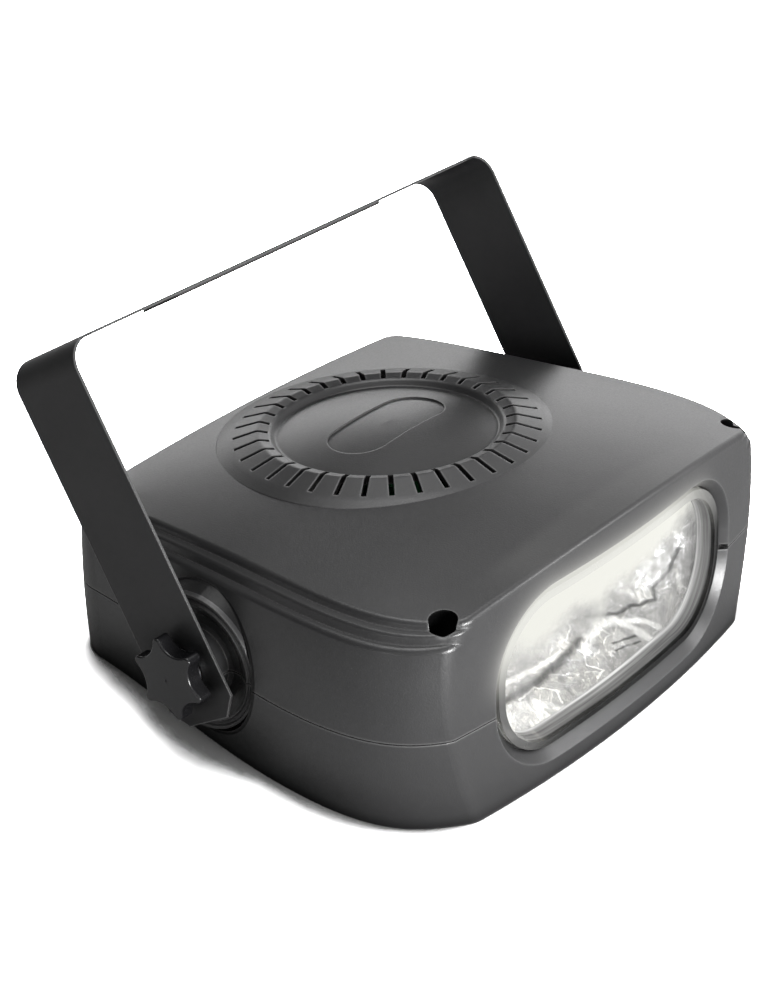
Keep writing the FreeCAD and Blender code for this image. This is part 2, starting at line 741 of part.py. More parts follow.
def tube_holders():
    """Two moulded stand-offs that grip the tube near its ends and stand on the reflector's back."""
    glass = rod(TUBE_R, tube_axis(-TUBE_HALF), tube_axis(TUBE_HALF))
    holders = []
    for side in SIDES:
        x0, x1 = side * HOLDER_X - HOLDER_HALF_T, side * HOLDER_X + HOLDER_HALF_T
        ring = rod(TUBE_R + HOLDER_GRIP_T, tube_axis(x0), tube_axis(x1))
        z0, z1 = TUBE_Z - HOLDER_LEG_HALF, TUBE_Z + HOLDER_LEG_HALF
        leg = box(x0, x1, TUBE_Y, REFLECTOR_BACK_Y - REFLECTOR_T, z0, z1)
        holders.append(ring.fuse(leg).cut(glass))
    return Part.makeCompound(holders)


def trigger_wire():
    """Bare wire along the glass, held to it by three narrow bands."""
    inner, outer = TUBE_R + 0.02, TUBE_R + 0.5
    bands = [tube(outer, inner, tube_axis(x - 0.6), tube_axis(x + 0.6)) for x in BAND_X]
    top, reach = TUBE_Z + TUBE_R, BAND_X[-1] + 3
    wire = box(-reach, reach, TUBE_Y - 0.3, TUBE_Y + 0.3, top + 0.1, top + 0.7)
    return wire.fuse(bands)


def wire_run(points, radius):
    """A bent lead: straight rods with a ball at each bend."""
    rods = [rod(radius, a, b) for a, b in zip(points, points[1:])]
    balls = [Part.makeSphere(radius, p) for p in points[1:-1]]
    return fuse(rods + balls)


def square_run(points, half):
    """A bent terminal wire, as square bars along the axes."""
    bars = []
    for a, b in zip(points, points[1:]):
        low = [min(p, q) - half for p, q in zip(a, b)]
        high = [max(p, q) + half for p, q in zip(a, b)]
        bars.append(box(low[0], high[0], low[1], high[1], low[2], high[2]))
    return fuse(bars)


def tube_leads():
    """Leads from the pins back through the reflector and down to the board."""
    back_y, bend_y, bend_z = -34, -46, 24
    leads = []
    for side in SIDES:
        x = side * LEAD_X
        points = [tube_axis(side * PIN_END_X), tube_axis(x), Vector(x, bend_y, TUBE_Z),
                  Vector(x, back_y, bend_z), Vector(x, back_y, BOARD_Z + BOARD_T)]
        leads.append(wire_run(points, LEAD_R))
    return Part.makeCompound(leads)


# ---- circuit board ------------------------------------------------------------------------

def circuit_board():
    plate = box(-BOARD_HALF_W, BOARD_HALF_W, BOARD_FRONT_Y, BOARD_BACK_Y, BOARD_Z, BOARD_Z + BOARD_T)
    return plate.cut(board_screw_holes())


def plain_screw(place, seat_z, end_z, direction=1):
    """A cylinder head screw with a hexagon socket; direction -1 hangs the head below the seat."""
    head_far = seat_z + direction * SCREW_HEAD_H
    shank = upright(SCREW_R, place, *sorted((seat_z + direction * 0.2, end_z)))
    head = upright(SCREW_HEAD_R, place, *sorted((seat_z, head_far)))
    corners = [turned(SCREW_SOCKET_R, 60 * i) for i in range(7)]
    socket = Part.Face(Part.makePolygon(corners)).extrude(Z_AXIS * (-direction * SCREW_SOCKET_H))
    return head.fuse(shank).cut(socket.translated(Vector(place.x, place.y, head_far)))


def board_screws():
    seat = BOARD_Z + BOARD_T
    return Part.makeCompound([plain_screw(place, seat, BOARD_SCREW_END_Z) for place in board_post_places()])


def case_screws_front():
    screws = [plain_screw(place, WELL_FLOOR_Z, FRONT_SCREW_END_Z) for place in both_sides(*FRONT_SCREW)]
    return Part.makeCompound(screws)


def case_screws_rear():
    seat = REAR_HEAD_Z + SCREW_HEAD_H
    screws = [plain_screw(place, seat, REAR_SCREW_END_Z, -1) for place in both_sides(*REAR_SCREW)]
    return Part.makeCompound(screws)


def flash_capacitors():
    """Two upright cans, with a groove rolled in near the foot."""
    cans = []
    for x in CAPACITOR_X:
        profile = [(0, 0), (11.4, 0), (12, 0.6), (12, 2.6), (11.3, 3.3), (12, 4), (12, 39), (11, 40),
                   (0, 40)]
        cans.append(revolved(profile, Vector(x, CAPACITOR_Y, BOARD_Z + BOARD_T), FreeCAD.Rotation()))
    return Part.makeCompound(cans)


def trigger_transformer():
    """A laminated core with a winding through it."""
    base = BOARD_Z + BOARD_T
    core = box(14, 38, -26, -6, base, base + 20).cut(box(18, 34, -30, 0, base + 4, base + 16))
    winding = box(18, 34, -30, -2, base + 4, base + 16)
    return core.fuse(winding.makeFillet(2.5, [e for e in winding.Edges if e.BoundBox.YLength > 20]))


def power_resistor():
    block = box(-30, 22, 32, 42, BOARD_Z + BOARD_T, BOARD_Z + BOARD_T + 10)
    return block.makeFillet(1.0, [e for e in block.Edges if e.BoundBox.XLength > 40])


def rectifier_diodes():
    """Round bodies held off the board by their own bent wires."""
    axis, foot = BOARD_Z + DIODE_Z, BOARD_Z + BOARD_T + 0.4
    diodes = []
    for x in DIODE_X:
        body = rod(2.7, Vector(x, 2, axis), Vector(x, 11, axis))
        wire = [Vector(x, -2, foot), Vector(x, -2, axis), Vector(x, 15, axis), Vector(x, 15, foot)]
        diodes.append(body.fuse(square_run(wire, 0.4)))
    return Part.makeCompound(diodes)


def terminal_block():
    """Two screw terminals: a round well over a square mouth each."""
    base = BOARD_Z + BOARD_T
    block = box(44, 64, 30, 42, base, base + 12)
    wells = [rod(2, Vector(x, 36, base + 7), Vector(x, 36, base + 13)) for x in TERMINAL_X]
    mouths = [box(x - 3, x + 3, 36, 43, base + 1.5, base + 6) for x in TERMINAL_X]
    return block.cut(wells + mouths)


# ---- rear fittings ------------------------------------------------------------------------

def facing_back():
    return FreeCAD.Rotation(Z_AXIS, Y_AXIS)


def rear_point(x, y):
    return Vector(x, y, REAR_Z)


def hexagon(across_flats, start, end):
    """A hexagonal prism along Y."""
    corners = [turned(across_flats / math.sqrt(3), 60 * i) for i in range(7)]
    points = [start.add(Vector(corner.x, 0, corner.y)) for corner in corners]
    return Part.Face(Part.makePolygon(points)).extrude(end.sub(start))


def rate_potentiometer():
    """Round body inside the back wall, threaded bushing through it and a nut outside."""
    can = rod(7.4, rear_point(RATE_X, BACK_Y - WALL - 11), rear_point(RATE_X, BACK_Y - WALL))
    bushing = rod(BUSHING_R, rear_point(RATE_X, BACK_Y - WALL - 1), rear_point(RATE_X, BACK_Y + 3.5))
    nut = hexagon(10.5, rear_point(RATE_X, BACK_Y), rear_point(RATE_X, BACK_Y + 2.4))
    bore = rod(3.05, rear_point(RATE_X, BACK_Y - WALL - 9), rear_point(RATE_X, BACK_Y + 9))
    return can.fuse([bushing, nut]).cut(bore)


def rate_knob():
    """Fluted skirted knob with a pointer groove, in one piece with its shaft."""
    profile = [(0, -12), (3, -12), (3, 2.5), (BUSHING_R + 3, 2.5), (BUSHING_R + 3, -1.4),
               (RATE_KNOB_R, -1.4), (RATE_KNOB_R, 0.4), (RATE_KNOB_R - 1.2, 1.4),
               (RATE_KNOB_R - 1.8, 11), (RATE_KNOB_R - 2.8, 12), (0, 12)]
    knob = revolved(profile, rear_point(RATE_X, BACK_Y + 2.1), facing_back())
    cuts = [box(RATE_X - 0.5, RATE_X + 0.5, BACK_Y + 13.6, BACK_Y + 16, REAR_Z + 1, REAR_Z + RATE_KNOB_R)]
    for i in range(RATE_KNOB_FLUTES):
        flute = turned(RATE_KNOB_R - 0.3, 360 / RATE_KNOB_FLUTES * (i + 0.5))
        start = rear_point(RATE_X + flute.x, BACK_Y + 3.6).add(Z_AXIS * flute.y)
        cuts.append(rod(1.2, start, start.add(Y_AXIS * 14)))
    return knob.cut(cuts)


def fuse_holder():
    profile = [(3.9, -26), (FUSE_BODY_R - 0.4, -26), (FUSE_BODY_R, -25), (FUSE_BODY_R, 0), (8, 0), (8, 1.4),
               (7.4, 2), (FUSE_BODY_R - 1.4, 2), (FUSE_BODY_R - 1.4, -3), (3.9, -3)]
    return revolved(profile, rear_point(FUSE_X, BACK_Y), facing_back())


def fuse_nut():
    start, end = rear_point(FUSE_X, BACK_Y - WALL - 3), rear_point(FUSE_X, BACK_Y - WALL)
    return hexagon(16, start, end).cut(rod(FUSE_BODY_R, start, end))


def cartridge_fuse():
    """A 5 x 20 cartridge: glass between two end caps."""
    start = rear_point(FUSE_X, BACK_Y - 26)
    glass = rod(2.3, start, start.add(Y_AXIS * 20))
    caps = [rod(2.6, start.add(Y_AXIS * y), start.add(Y_AXIS * (y + 5))) for y in (0, 15)]
    return glass.fuse(caps)


def fuse_cap():
    profile = [(0, -5.5), (3.5, -5.5), (3.5, 2.3), (FUSE_CAP_R, 2.3), (FUSE_CAP_R, 6.5),
               (FUSE_CAP_R - 1.2, 8), (0, 8)]
    cap = revolved(profile, rear_point(FUSE_X, BACK_Y), facing_back())
    slot = box(FUSE_X - 5, FUSE_X + 5, BACK_Y + 6.6, BACK_Y + 9, REAR_Z - 0.7, REAR_Z + 0.7)
    return cap.cut(slot)


def cable_gland():
    outside_hex = hexagon(15, rear_point(GLAND_X, BACK_Y), rear_point(GLAND_X, BACK_Y + 4.5))
    thread = rod(GLAND_THREAD_R, rear_point(GLAND_X, BACK_Y - 10), rear_point(GLAND_X, BACK_Y + 2))
    profile = [(0, 4), (7, 4), (7, 7), (5.6, 12.5), (4.6, 14), (0, 14)]
    dome = revolved(profile, rear_point(GLAND_X, BACK_Y), facing_back())
    bore = rod(GLAND_BORE_R, rear_point(GLAND_X, BACK_Y - 12), rear_point(GLAND_X, BACK_Y + 16))
    return outside_hex.fuse([thread, dome]).cut(bore)


def gland_nut():
    start, end = rear_point(GLAND_X, BACK_Y - WALL - 4), rear_point(GLAND_X, BACK_Y - WALL)
    return hexagon(16, start, end).cut(rod(GLAND_THREAD_R, start, end))


# ---- bracket, knobs and pivots ------------------------------------------------------------

def strip_outline(inset):
    """The outline of the U across its strip, moved in by the inset."""
    x, z = BRACKET_HALF_W - inset, BAR_DISTANCE - inset
    r = BEND_R - inset
    k = r * (1 - math.sqrt(0.5))
    points = [(x, -ARM_END), (x, z - r), (x - r, z), (r - x, z), (-x, z - r), (-x, -ARM_END)]
    p = [Vector(a, 0, b) for a, b in points]
    edges = [Part.LineSegment(p[0], p[1]).toShape(),
             Part.Arc(p[1], Vector(x - k, 0, z - k), p[2]).toShape(),
             Part.LineSegment(p[2], p[3]).toShape(),
             Part.Arc(p[3], Vector(k - x, 0, z - k), p[4]).toShape(),
             Part.LineSegment(p[4], p[5]).toShape(),
             Part.LineSegment(p[5], p[0]).toShape()]
    face = Part.Face(Part.Wire(edges))
    return face.extrude(Y_AXIS * STRIP_W).translated(Vector(0, -STRIP_W / 2, 0))


def arm_chamfers():
    """The wedges that leave the arm ends with cut corners."""
    corner, low = STRIP_W / 2, -ARM_END
    wedges = []
    for s in SIDES:
        points = [Vector(-BIG, s * corner, low), Vector(-BIG, s * (corner - ARM_CHAMFER), low),
                  Vector(-BIG, s * corner, low + ARM_CHAMFER)]
        wedges.append(Part.Face(Part.makePolygon(points + points[:1])).extrude(X_AXIS * 2 * BIG))
    return wedges


def bar_plate():
    """The stiffening plate welded under the bar, round its three holes."""
    top = BAR_DISTANCE - STRIP_T
    plate = box(-PLATE_HALF_L, PLATE_HALF_L, -PLATE_HALF_W, PLATE_HALF_W, top - PLATE_T, top)
    return plate.makeFillet(PLATE_CORNER_R, [e for e in plate.Edges if e.BoundBox.ZLength > PLATE_T / 2])


def bar_hole(radius, x):
    return rod(radius, Vector(x, 0, BAR_DISTANCE - 9), Vector(x, 0, BAR_DISTANCE + 9))


def bracket_between(start, end):
    """The bent strip from one X to another, tilted about the pivot."""
    strip = strip_outline(0).cut(strip_outline(STRIP_T))
    strip = strip.fuse(bar_plate())
    pivot_holes = [rod(STUD_R + STUD_CLEARANCE, Vector(-BIG, 0, 0), Vector(BIG, 0, 0))]
    bar_holes = [bar_hole(HANG_HOLE_R, 0)] + [bar_hole(SIDE_HOLE_R, s * SIDE_HOLE_X) for s in SIDES]
    strip = strip.cut(arm_chamfers() + pivot_holes + bar_holes)
    strip = strip.common(box(start, end, -BIG, BIG, -BIG, BIG)).Solids[0]
    strip.Placement = FreeCAD.Placement(pivot_point(), FreeCAD.Rotation(X_AXIS, -BRACKET_TILT))
    return strip


def bracket_bar():
    """The level bar up to its two bends, with the stiffening plate welded under it."""
    bend_x = BRACKET_HALF_W - BEND_R
    return bracket_between(-bend_x, bend_x)


def bracket_arm(side):
    """One arm, with the bend that leads into the bar."""
    bend_x = BRACKET_HALF_W - BEND_R
    return bracket_between(*sorted((side * bend_x, side * BIG)))


def star_outline():
    """The closed outline of a star knob: narrow round tips, joined by hollow arcs."""
    half = 180.0 / KNOB_LOBES
    tip_centre = KNOB_R - KNOB_TIP_R
    inner = KNOB_VALLEY_R - KNOB_TIP_R
    reach = (tip_centre ** 2 - inner ** 2) / (2 * (tip_centre * math.cos(math.radians(half)) - inner))
    meets = []
    for i in range(KNOB_LOBES):
        centre = turned(tip_centre, 2 * half * i)
        towards = [turned(reach, 2 * half * i + side * half).sub(centre).normalize() for side in SIDES]
        meets.append([centre.add(direction * KNOB_TIP_R) for direction in towards])
    edges = []
    for i, (start, end) in enumerate(meets):
        following = meets[(i + 1) % KNOB_LOBES][0]
        edges.append(Part.Arc(start, turned(KNOB_R, 2 * half * i), end).toShape())
        edges.append(Part.Arc(end, turned(KNOB_VALLEY_R, 2 * half * i + half), following).toShape())
    return Part.Wire(edges)


def knob_base_x():
    return BRACKET_HALF_W + WASHER_T + 2 * BODY_GAP


def knob(side):
    """Six lobes, a shallow domed face and a round collar towards the washer."""
    top = KNOB_H - (knob_base_x() - BRACKET_HALF_W) + 1.0
    dome_r = KNOB_R ** 2 / (2 * KNOB_DOME)
    dome = Part.makeSphere(dome_r, Vector(0, 0, top - dome_r))
    head = Part.Face(star_outline()).extrude(Z_AXIS * (top + 2)).common(dome)
    head = head.cut(Part.makeCylinder(2 * KNOB_R, HEAD_LIFT))
    head = head.makeFillet(KNOB_EDGE_R, [e for e in head.Edges if e.BoundBox.ZMin > top - 2 * KNOB_DOME])
    collar = Part.makeCylinder(COLLAR_R, COLLAR_H)
    body = head.fuse(collar).cut(Part.makeCylinder(STUD_R, STUD_IN_KNOB + 1, Vector(0, 0, -1)))
    body.rotate(Vector(0, 0, 0), Z_AXIS, -side * KNOB_TURN)
    outward = FreeCAD.Placement(pivot_point(side * knob_base_x()), facing_x(side))
    body.Placement = outward.multiply(body.Placement)
    return body


def stud(side):
    return pivot_rod(STUD_R, side, STUD_END_X, knob_base_x() + STUD_IN_KNOB)


def washer(side):
    near = side * (BRACKET_HALF_W + BODY_GAP)
    return tube(WASHER_R, STUD_R + STUD_CLEARANCE, pivot_point(near), pivot_point(near + side * WASHER_T))


def friction_pad(side):
    near = side * (BRACKET_HALF_W - STRIP_T - BODY_GAP - PAD_T)
    return tube(HUB_R - 0.8, STUD_R + 0.6, pivot_point(near), pivot_point(near + side * PAD_T))


def pivot_insert(side):
    start, end = (pivot_point(side * x) for x in INSERT_X)
    return tube(INSERT_R, STUD_R + STUD_CLEARANCE, start, end)


def make_pieces():
    pieces = make_shells()
    singles = (
        front_lens, lens_seal, reflector, reflector_bracket, reflector_rivets, xenon_tube, tube_electrodes,
        tube_holders, trigger_wire, tube_leads, circuit_board, board_screws, case_screws_front,
        case_screws_rear, flash_capacitors, trigger_transformer, power_resistor, rectifier_diodes,
        terminal_block, rate_potentiometer, rate_knob, fuse_holder, fuse_nut, cartridge_fuse, fuse_cap,
        cable_gland, gland_nut, bracket_bar)
    for make in singles:
        pieces[make.__name__] = make()
    for side, name in zip(SIDES, ("left", "right")):
        for make in (bracket_arm, knob, stud, washer, friction_pad, pivot_insert):
            pieces[f"{name}_{make.__name__}"] = make(side)
    return pieces


def main():
    os.makedirs("parts", exist_ok=True)
    for name, shape in make_pieces().items():
        shape.exportStep(f"parts/{name}.step")


if __name__ == "__main__":
    main()
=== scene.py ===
import json
import math

import bpy
from mathutils import Matrix, Vector, noise
from mathutils.bvhtree import BVHTree


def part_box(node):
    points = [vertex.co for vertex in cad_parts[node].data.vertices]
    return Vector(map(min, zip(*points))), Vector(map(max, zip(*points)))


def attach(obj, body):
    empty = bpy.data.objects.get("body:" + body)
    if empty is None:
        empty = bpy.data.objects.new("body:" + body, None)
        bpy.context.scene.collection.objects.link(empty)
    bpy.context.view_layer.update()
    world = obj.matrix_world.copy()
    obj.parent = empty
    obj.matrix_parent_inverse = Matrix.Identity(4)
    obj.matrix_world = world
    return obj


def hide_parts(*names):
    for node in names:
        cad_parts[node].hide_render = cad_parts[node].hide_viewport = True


# Xenon stroboscope, in metres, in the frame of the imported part: +X to the right of someone
# facing the window, +Y to the back, +Z up, origin on the flat underside.

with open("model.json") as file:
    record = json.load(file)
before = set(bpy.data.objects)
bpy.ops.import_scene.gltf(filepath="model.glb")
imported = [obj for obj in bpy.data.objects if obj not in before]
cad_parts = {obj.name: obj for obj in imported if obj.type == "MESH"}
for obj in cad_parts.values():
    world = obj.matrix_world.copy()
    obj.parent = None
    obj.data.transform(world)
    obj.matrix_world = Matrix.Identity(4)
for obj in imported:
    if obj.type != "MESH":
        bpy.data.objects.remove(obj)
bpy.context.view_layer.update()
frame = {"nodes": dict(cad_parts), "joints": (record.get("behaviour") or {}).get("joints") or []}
nodes = frame["nodes"]
scene = bpy.context.scene
MM = 0.001


# ---- measures of the part -------------------------------------------------------------------

# From the frame: the window, which the lens's flange reaches past on all sides, the pivot, the
# bracket's bends, the screw wells, and the rim and the back of the reflector's sheet.
LENS_PAST_WINDOW = 1.5 * MM
LENS_LOW, LENS_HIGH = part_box("front_lens")
WINDOW_Z = (LENS_LOW[2] + LENS_HIGH[2]) / 2
WINDOW_HALF_W = LENS_HIGH[0] - LENS_PAST_WINDOW
WINDOW_HALF_H = LENS_HIGH[2] - WINDOW_Z - LENS_PAST_WINDOW
PIVOT_Y, PIVOT_Z = next(joint["pos_m"][1:] for joint in frame["joints"] if joint["name"] == "bracket_tilt")
BEND_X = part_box("bracket_bar")[1][0]
SCREWS_LOW, SCREWS_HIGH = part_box("case_screws_front")
WELL_Y = (SCREWS_LOW[1] + SCREWS_HIGH[1]) / 2
WELL_X = SCREWS_HIGH[0] - (SCREWS_HIGH[1] - WELL_Y)
REFLECTOR_SHEET = 1.2 * MM
TROUGH_RIM_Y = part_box("reflector")[0][1]
TROUGH_BACK_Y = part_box("reflector")[1][1] - REFLECTOR_SHEET / 2

# From the part's source: the window's corners, the bowed and leaning front, and how deep behind it
# the lens's face and its back lie.
WINDOW_R = 30.9 * MM
FRONT_Y = -118.0 * MM
FRONT_LEAN = 0.09
FRONT_BOW_R = 600.0 * MM
LENS_FACE_DEPTH = 10.6 * MM
LENS_BACK_DEPTH = 12.4 * MM

# What the masks of painted shade take in: a little more than a well's radius, and a ring on each boss.
WELL_R = 5.12 * MM
FLANK_R = (27.7 * MM, 29.7 * MM)
FLANK_X = 108.0 * MM


# ---- camera ---------------------------------------------------------------------------------

# The camera of the photo: the photo's pixels, then place, yaw, pitch and roll in degrees, focal
# length and sensor in mm, how far the picture is shifted, as a share of its height, and the
# nearest distance it sees, in metres.
PHOTO_W, PHOTO_H = 771, 1000
CAMERA_PLACE = Vector((-661.23, -496.05, 529.90)) * MM
CAMERA_TURN = (53.017, -30.055, 2.622)
CAMERA_LENS = 87.58
CAMERA_SENSOR = 36.0
CAMERA_SHIFT = -0.002
CAMERA_CLIP = 0.05


def aim(yaw, pitch, roll):
    """The camera's turn from its yaw from +Y towards +X, its pitch and its roll, in degrees."""
    yaw, pitch, roll = math.radians(yaw), math.radians(pitch), math.radians(roll)
    forward = Vector((math.sin(yaw) * math.cos(pitch), math.cos(yaw) * math.cos(pitch), math.sin(pitch)))
    level = forward.cross(Vector((0, 0, 1))).normalized()
    upright = level.cross(forward)
    right = level * math.cos(roll) + upright * math.sin(roll)
    up = upright * math.cos(roll) - level * math.sin(roll)
    return Matrix((right, up, -forward)).transposed()


def line_of_sight(x, y):
    """The direction from the camera through a pixel of the photo."""
    across = (x - PHOTO_W / 2) / PHOTO_H * CAMERA_SENSOR
    up = ((PHOTO_H / 2 - y) / PHOTO_H + CAMERA_SHIFT) * CAMERA_SENSOR
    return (aim(*CAMERA_TURN) @ Vector((across, up, -CAMERA_LENS))).normalized()


def make_camera():
    camera = bpy.data.objects.new("camera", bpy.data.cameras.new("camera"))
    scene.collection.objects.link(camera)
    camera.data.lens = CAMERA_LENS
    camera.data.sensor_width = CAMERA_SENSOR
    camera.data.shift_y = CAMERA_SHIFT
    camera.data.clip_start = CAMERA_CLIP
    camera.matrix_world = Matrix.Translation(CAMERA_PLACE) @ aim(*CAMERA_TURN).to_4x4()
    scene.camera = camera


make_camera()


# ---- nodes ----------------------------------------------------------------------------------

EVEN = (1.0, 1.0, 1.0)
MOST_OF_A_NOISE = (0.3, 0.7)


class Field:
    """A number that varies over a surface. Arithmetic on fields adds math nodes to their tree."""

    def __init__(self, socket):
        self.socket = socket

    def __add__(self, other):
        return calculate("ADD", self, other)

    def __sub__(self, other):
        return calculate("SUBTRACT", self, other)

    def __rsub__(self, other):
        return calculate("SUBTRACT", other, self)

    def __mul__(self, other):
        return calculate("MULTIPLY", self, other)

    def __truediv__(self, other):
        return calculate("DIVIDE", self, other)

    def __pow__(self, other):
        return calculate("POWER", self, other)

    def __abs__(self):
        return calculate("ABSOLUTE", self)


def feed(value, socket):
    """Links a field or an output to an input, or sets the input to a plain value."""
    if isinstance(value, Field):
        value = value.socket
    if isinstance(value, bpy.types.NodeSocket):
        socket.id_data.links.new(value, socket)
    else:
        socket.default_value = value


def add(tree, kind, inputs=None, **settings):
    """A new node with its settings, and with its inputs by name or by place."""
    node = tree.nodes.new("ShaderNode" + kind)
    for key, value in settings.items():
        setattr(node, key, value)
    for key, value in (inputs or {}).items():
        feed(value, node.inputs[key])
    return node


def calculate(operation, *values):
    """One step of arithmetic on fields and plain numbers, at least one of them a field."""
    tree = next(value.socket.id_data for value in values if isinstance(value, Field))
    return Field(add(tree, "Math", dict(enumerate(values)), operation=operation).outputs[0])


def larger(first, second):
    return calculate("MAXIMUM", first, second)


def smaller(first, second):
    return calculate("MINIMUM", first, second)


def above(value, limit):
    return calculate("GREATER_THAN", value, limit)


def below(value, limit):
    return calculate("LESS_THAN", value, limit)


def vector_step(tree, operation, *values, scale=None):
    """One step of vector arithmetic. Its result is a field where the operation gives a number."""
    node = add(tree, "VectorMath", dict(enumerate(values)), operation=operation)
    if scale is not None:
        feed(scale, node.inputs["Scale"])
    if operation in ("DOT_PRODUCT", "DISTANCE"):
        return Field(node.outputs["Value"])
    return node.outputs["Vector"]


def remap(value, low, high, from_low=0.0, from_high=1.0, curve="LINEAR"):
    """Low where the value is from_low or beyond, high where it is from_high or beyond."""
    ends = {"Value": value, "From Min": from_low, "From Max": from_high, "To Min": low, "To Max": high}
    return Field(add(value.socket.id_data, "MapRange", ends, interpolation_type=curve).outputs["Result"])


def smooth(value, low, high):
    """0 at low, 1 at high and an S curve between them. Low may be the larger one."""
    return remap(value, 0.0, 1.0, low, high, curve="SMOOTHSTEP")


def blend(tree, data_type, factor, first, second):
    """The first value where the factor is 0, the second where it is 1."""
    node = add(tree, "Mix", {"Factor": factor, "A": first, "B": second}, data_type=data_type)
    return node.outputs["Result"]


def tone_ramp(tree, value, stops):
    """Grey tones between stops of (place, tone)."""
    node = add(tree, "ValToRGB", {"Fac": value})
    marks = node.color_ramp.elements
    for mark, (place, tone) in zip(marks, (stops[0], stops[-1])):
        mark.position = place
        mark.color = (tone, tone, tone, 1.0)
    for place, tone in stops[1:-1]:
        marks.new(place).color = (tone, tone, tone, 1.0)
    return Field(node.outputs["Color"])


def coordinates(tree, stretch=EVEN):
    """Object coordinates in metres, times the stretch along each axis."""
    where = add(tree, "TexCoord").outputs["Object"]
    return add(tree, "Mapping", {"Vector": where, "Scale": stretch}).outputs["Vector"]


def object_axes(tree):
    """X, Y and Z of the object coordinates, as three fields."""
    return [Field(axis) for axis in add(tree, "SeparateXYZ", {0: coordinates(tree)}).outputs]


def noise_field(tree, scale, detail=3.0, stretch=EVEN):
    inputs = {"Vector": coordinates(tree, stretch), "Scale": scale, "Detail": detail}
    return Field(add(tree, "TexNoise", inputs).outputs["Fac"])


# ---- surfaces -------------------------------------------------------------------------------

# The spans of ambient occlusion and of a softened normal's turn that count from all to nothing.
SHADING_SAMPLES = 6
OPEN_SHARE = (0.42, 0.96)
EDGE_TURN = (0.78, 0.992)
PATCH_DETAIL = 4.0
GRAIN_DETAIL = 2.0
GRAIN_HEIGHT = 0.2 * MM


def new_material(name):
    made = bpy.data.materials.new(name)
    made.use_nodes = True
    tree = made.node_tree
    return made, tree, tree.nodes["Principled BSDF"]


def flat_normal(tree):
    return add(tree, "NewGeometry").outputs["Normal"]


def soft_normal(tree, radius):
    """Normals that turn gently over sharp edges, as on a moulded or painted edge."""
    return add(tree, "Bevel", {"Radius": radius}, samples=SHADING_SAMPLES).outputs["Normal"]


def hollow_shade(tree, reach, darkest):
    """Painted shade: 1 in the open, down to the darkest value in grooves and corners within the reach."""
    near = add(tree, "AmbientOcclusion", {"Distance": reach}, samples=SHADING_SAMPLES)
    return remap(Field(near.outputs["AO"]), darkest, 1.0, *OPEN_SHARE)


def edge_share(tree, radius):
    """1 along sharp edges, 0 on plain faces."""
    turn = vector_step(tree, "DOT_PRODUCT", soft_normal(tree, radius), flat_normal(tree))
    return remap(turn, 1.0, 0.0, *EDGE_TURN)


def relief(tree, shader, height, strength, distance, normal=None):
    """A fine relief over the surface, or over a normal that is softened already."""
    bump = add(tree, "Bump", {"Height": height, "Strength": strength, "Distance": distance})
    if normal is not None:
        feed(normal, bump.inputs["Normal"])
    feed(bump.outputs["Normal"], shader.inputs["Normal"])


def surface(name, dark, light, rough, grain, metallic=0.0, edge=0.3 * MM, patch_scale=60.0, specular=0.5,
            edge_highlight=None, shaded=None, seams=None, painted_shade=None):
    """A plain surface: two close colours in soft patches, uneven gloss and a fine grain.

    Grain is its scale and strength. The edges may carry a painted highlight, given by its width and
    its paler tone, and the grooves and corners painted shade, given by its reach and its darkest share.
    Seams makes the mask that is 0 where two pieces run on into each other, and the last mask paints
    shade that darkens both colour and gloss."""
    made, tree, shader = new_material(name)
    away = seams(tree) if seams else None
    patches = remap(noise_field(tree, patch_scale, PATCH_DETAIL), 0.0, 1.0, *MOST_OF_A_NOISE)
    colour = blend(tree, "RGBA", patches, (*dark, 1.0), (*light, 1.0))
    # Painted highlight: the edges are made paler, except where the seams mask is 0.
    if edge_highlight:
        width, tone = edge_highlight
        highlit_edges = edge_share(tree, width)
        colour = blend(tree, "RGBA", highlit_edges * away if away else highlit_edges, colour, (tone, tone, tone, 1.0))
    # Painted shade in grooves and corners, and the painted shade of the last mask, darken both colour and
    # gloss.
    shares = []
    if shaded:
        shares.append(hollow_shade(tree, *shaded))
    if painted_shade:
        shares.append(painted_shade(tree))
    gloss = specular
    for share in shares:
        colour = vector_step(tree, "SCALE", colour, scale=share)
        gloss = share * gloss
    grain_scale, grain_strength = grain
    fine = noise_field(tree, grain_scale, GRAIN_DETAIL)
    normal = soft_normal(tree, edge) if edge else None
    if away:
        normal = blend(tree, "VECTOR", away, flat_normal(tree), normal)
    relief(tree, shader, fine, grain_strength, GRAIN_HEIGHT, normal)
    feed(colour, shader.inputs["Base Color"])
    feed(gloss, shader.inputs["Specular IOR Level"])
    feed(remap(fine, *rough, *MOST_OF_A_NOISE), shader.inputs["Roughness"])
    feed(metallic, shader.inputs["Metallic"])
    return made


def dress(names, made):
    for name in names:
        data = nodes[name].data
        data.materials.clear()
        data.materials.append(made)


# ---- masks ----------------------------------------------------------------------------------

# Where the painted glow of the flash on the housing and the lens grows from nothing to full.
GLOW_REACH = 3.4 * MM
GLOW_X = (70.0 * MM, 24.0 * MM)
GLOW_Y = (-90.0 * MM, -97.0 * MM)
GLOW_Z = (38.0 * MM, 64.0 * MM)

# What is left of the housing's tone under the painted shade in the wells and on the flanks, and where
# the painted highlight along the bracket's edges fades out on both sides of a bend.
WELL_SHARE = 0.08
FLANK_SHARE = 0.35
SEAM_FADE = (2.4 * MM, 3.4 * MM)


def window_distance(x, z):
    """Distance from the rounded outline of the window opening, negative inside it."""
    from_x = abs(x) - (WINDOW_HALF_W - WINDOW_R)
    from_z = abs(z - WINDOW_Z) - (WINDOW_HALF_H - WINDOW_R)
    corner = calculate("SQRT", larger(from_x, 0.0) ** 2.0 + larger(from_z, 0.0) ** 2.0)
    inner = smaller(larger(from_x, from_z), 0.0)
    return corner + inner - WINDOW_R


def front_depth(x, y, z):
    """How far behind the bowed, leaning front face a point lies."""
    return y - (z * FRONT_LEAN + FRONT_Y + x ** 2.0 / (2 * FRONT_BOW_R))


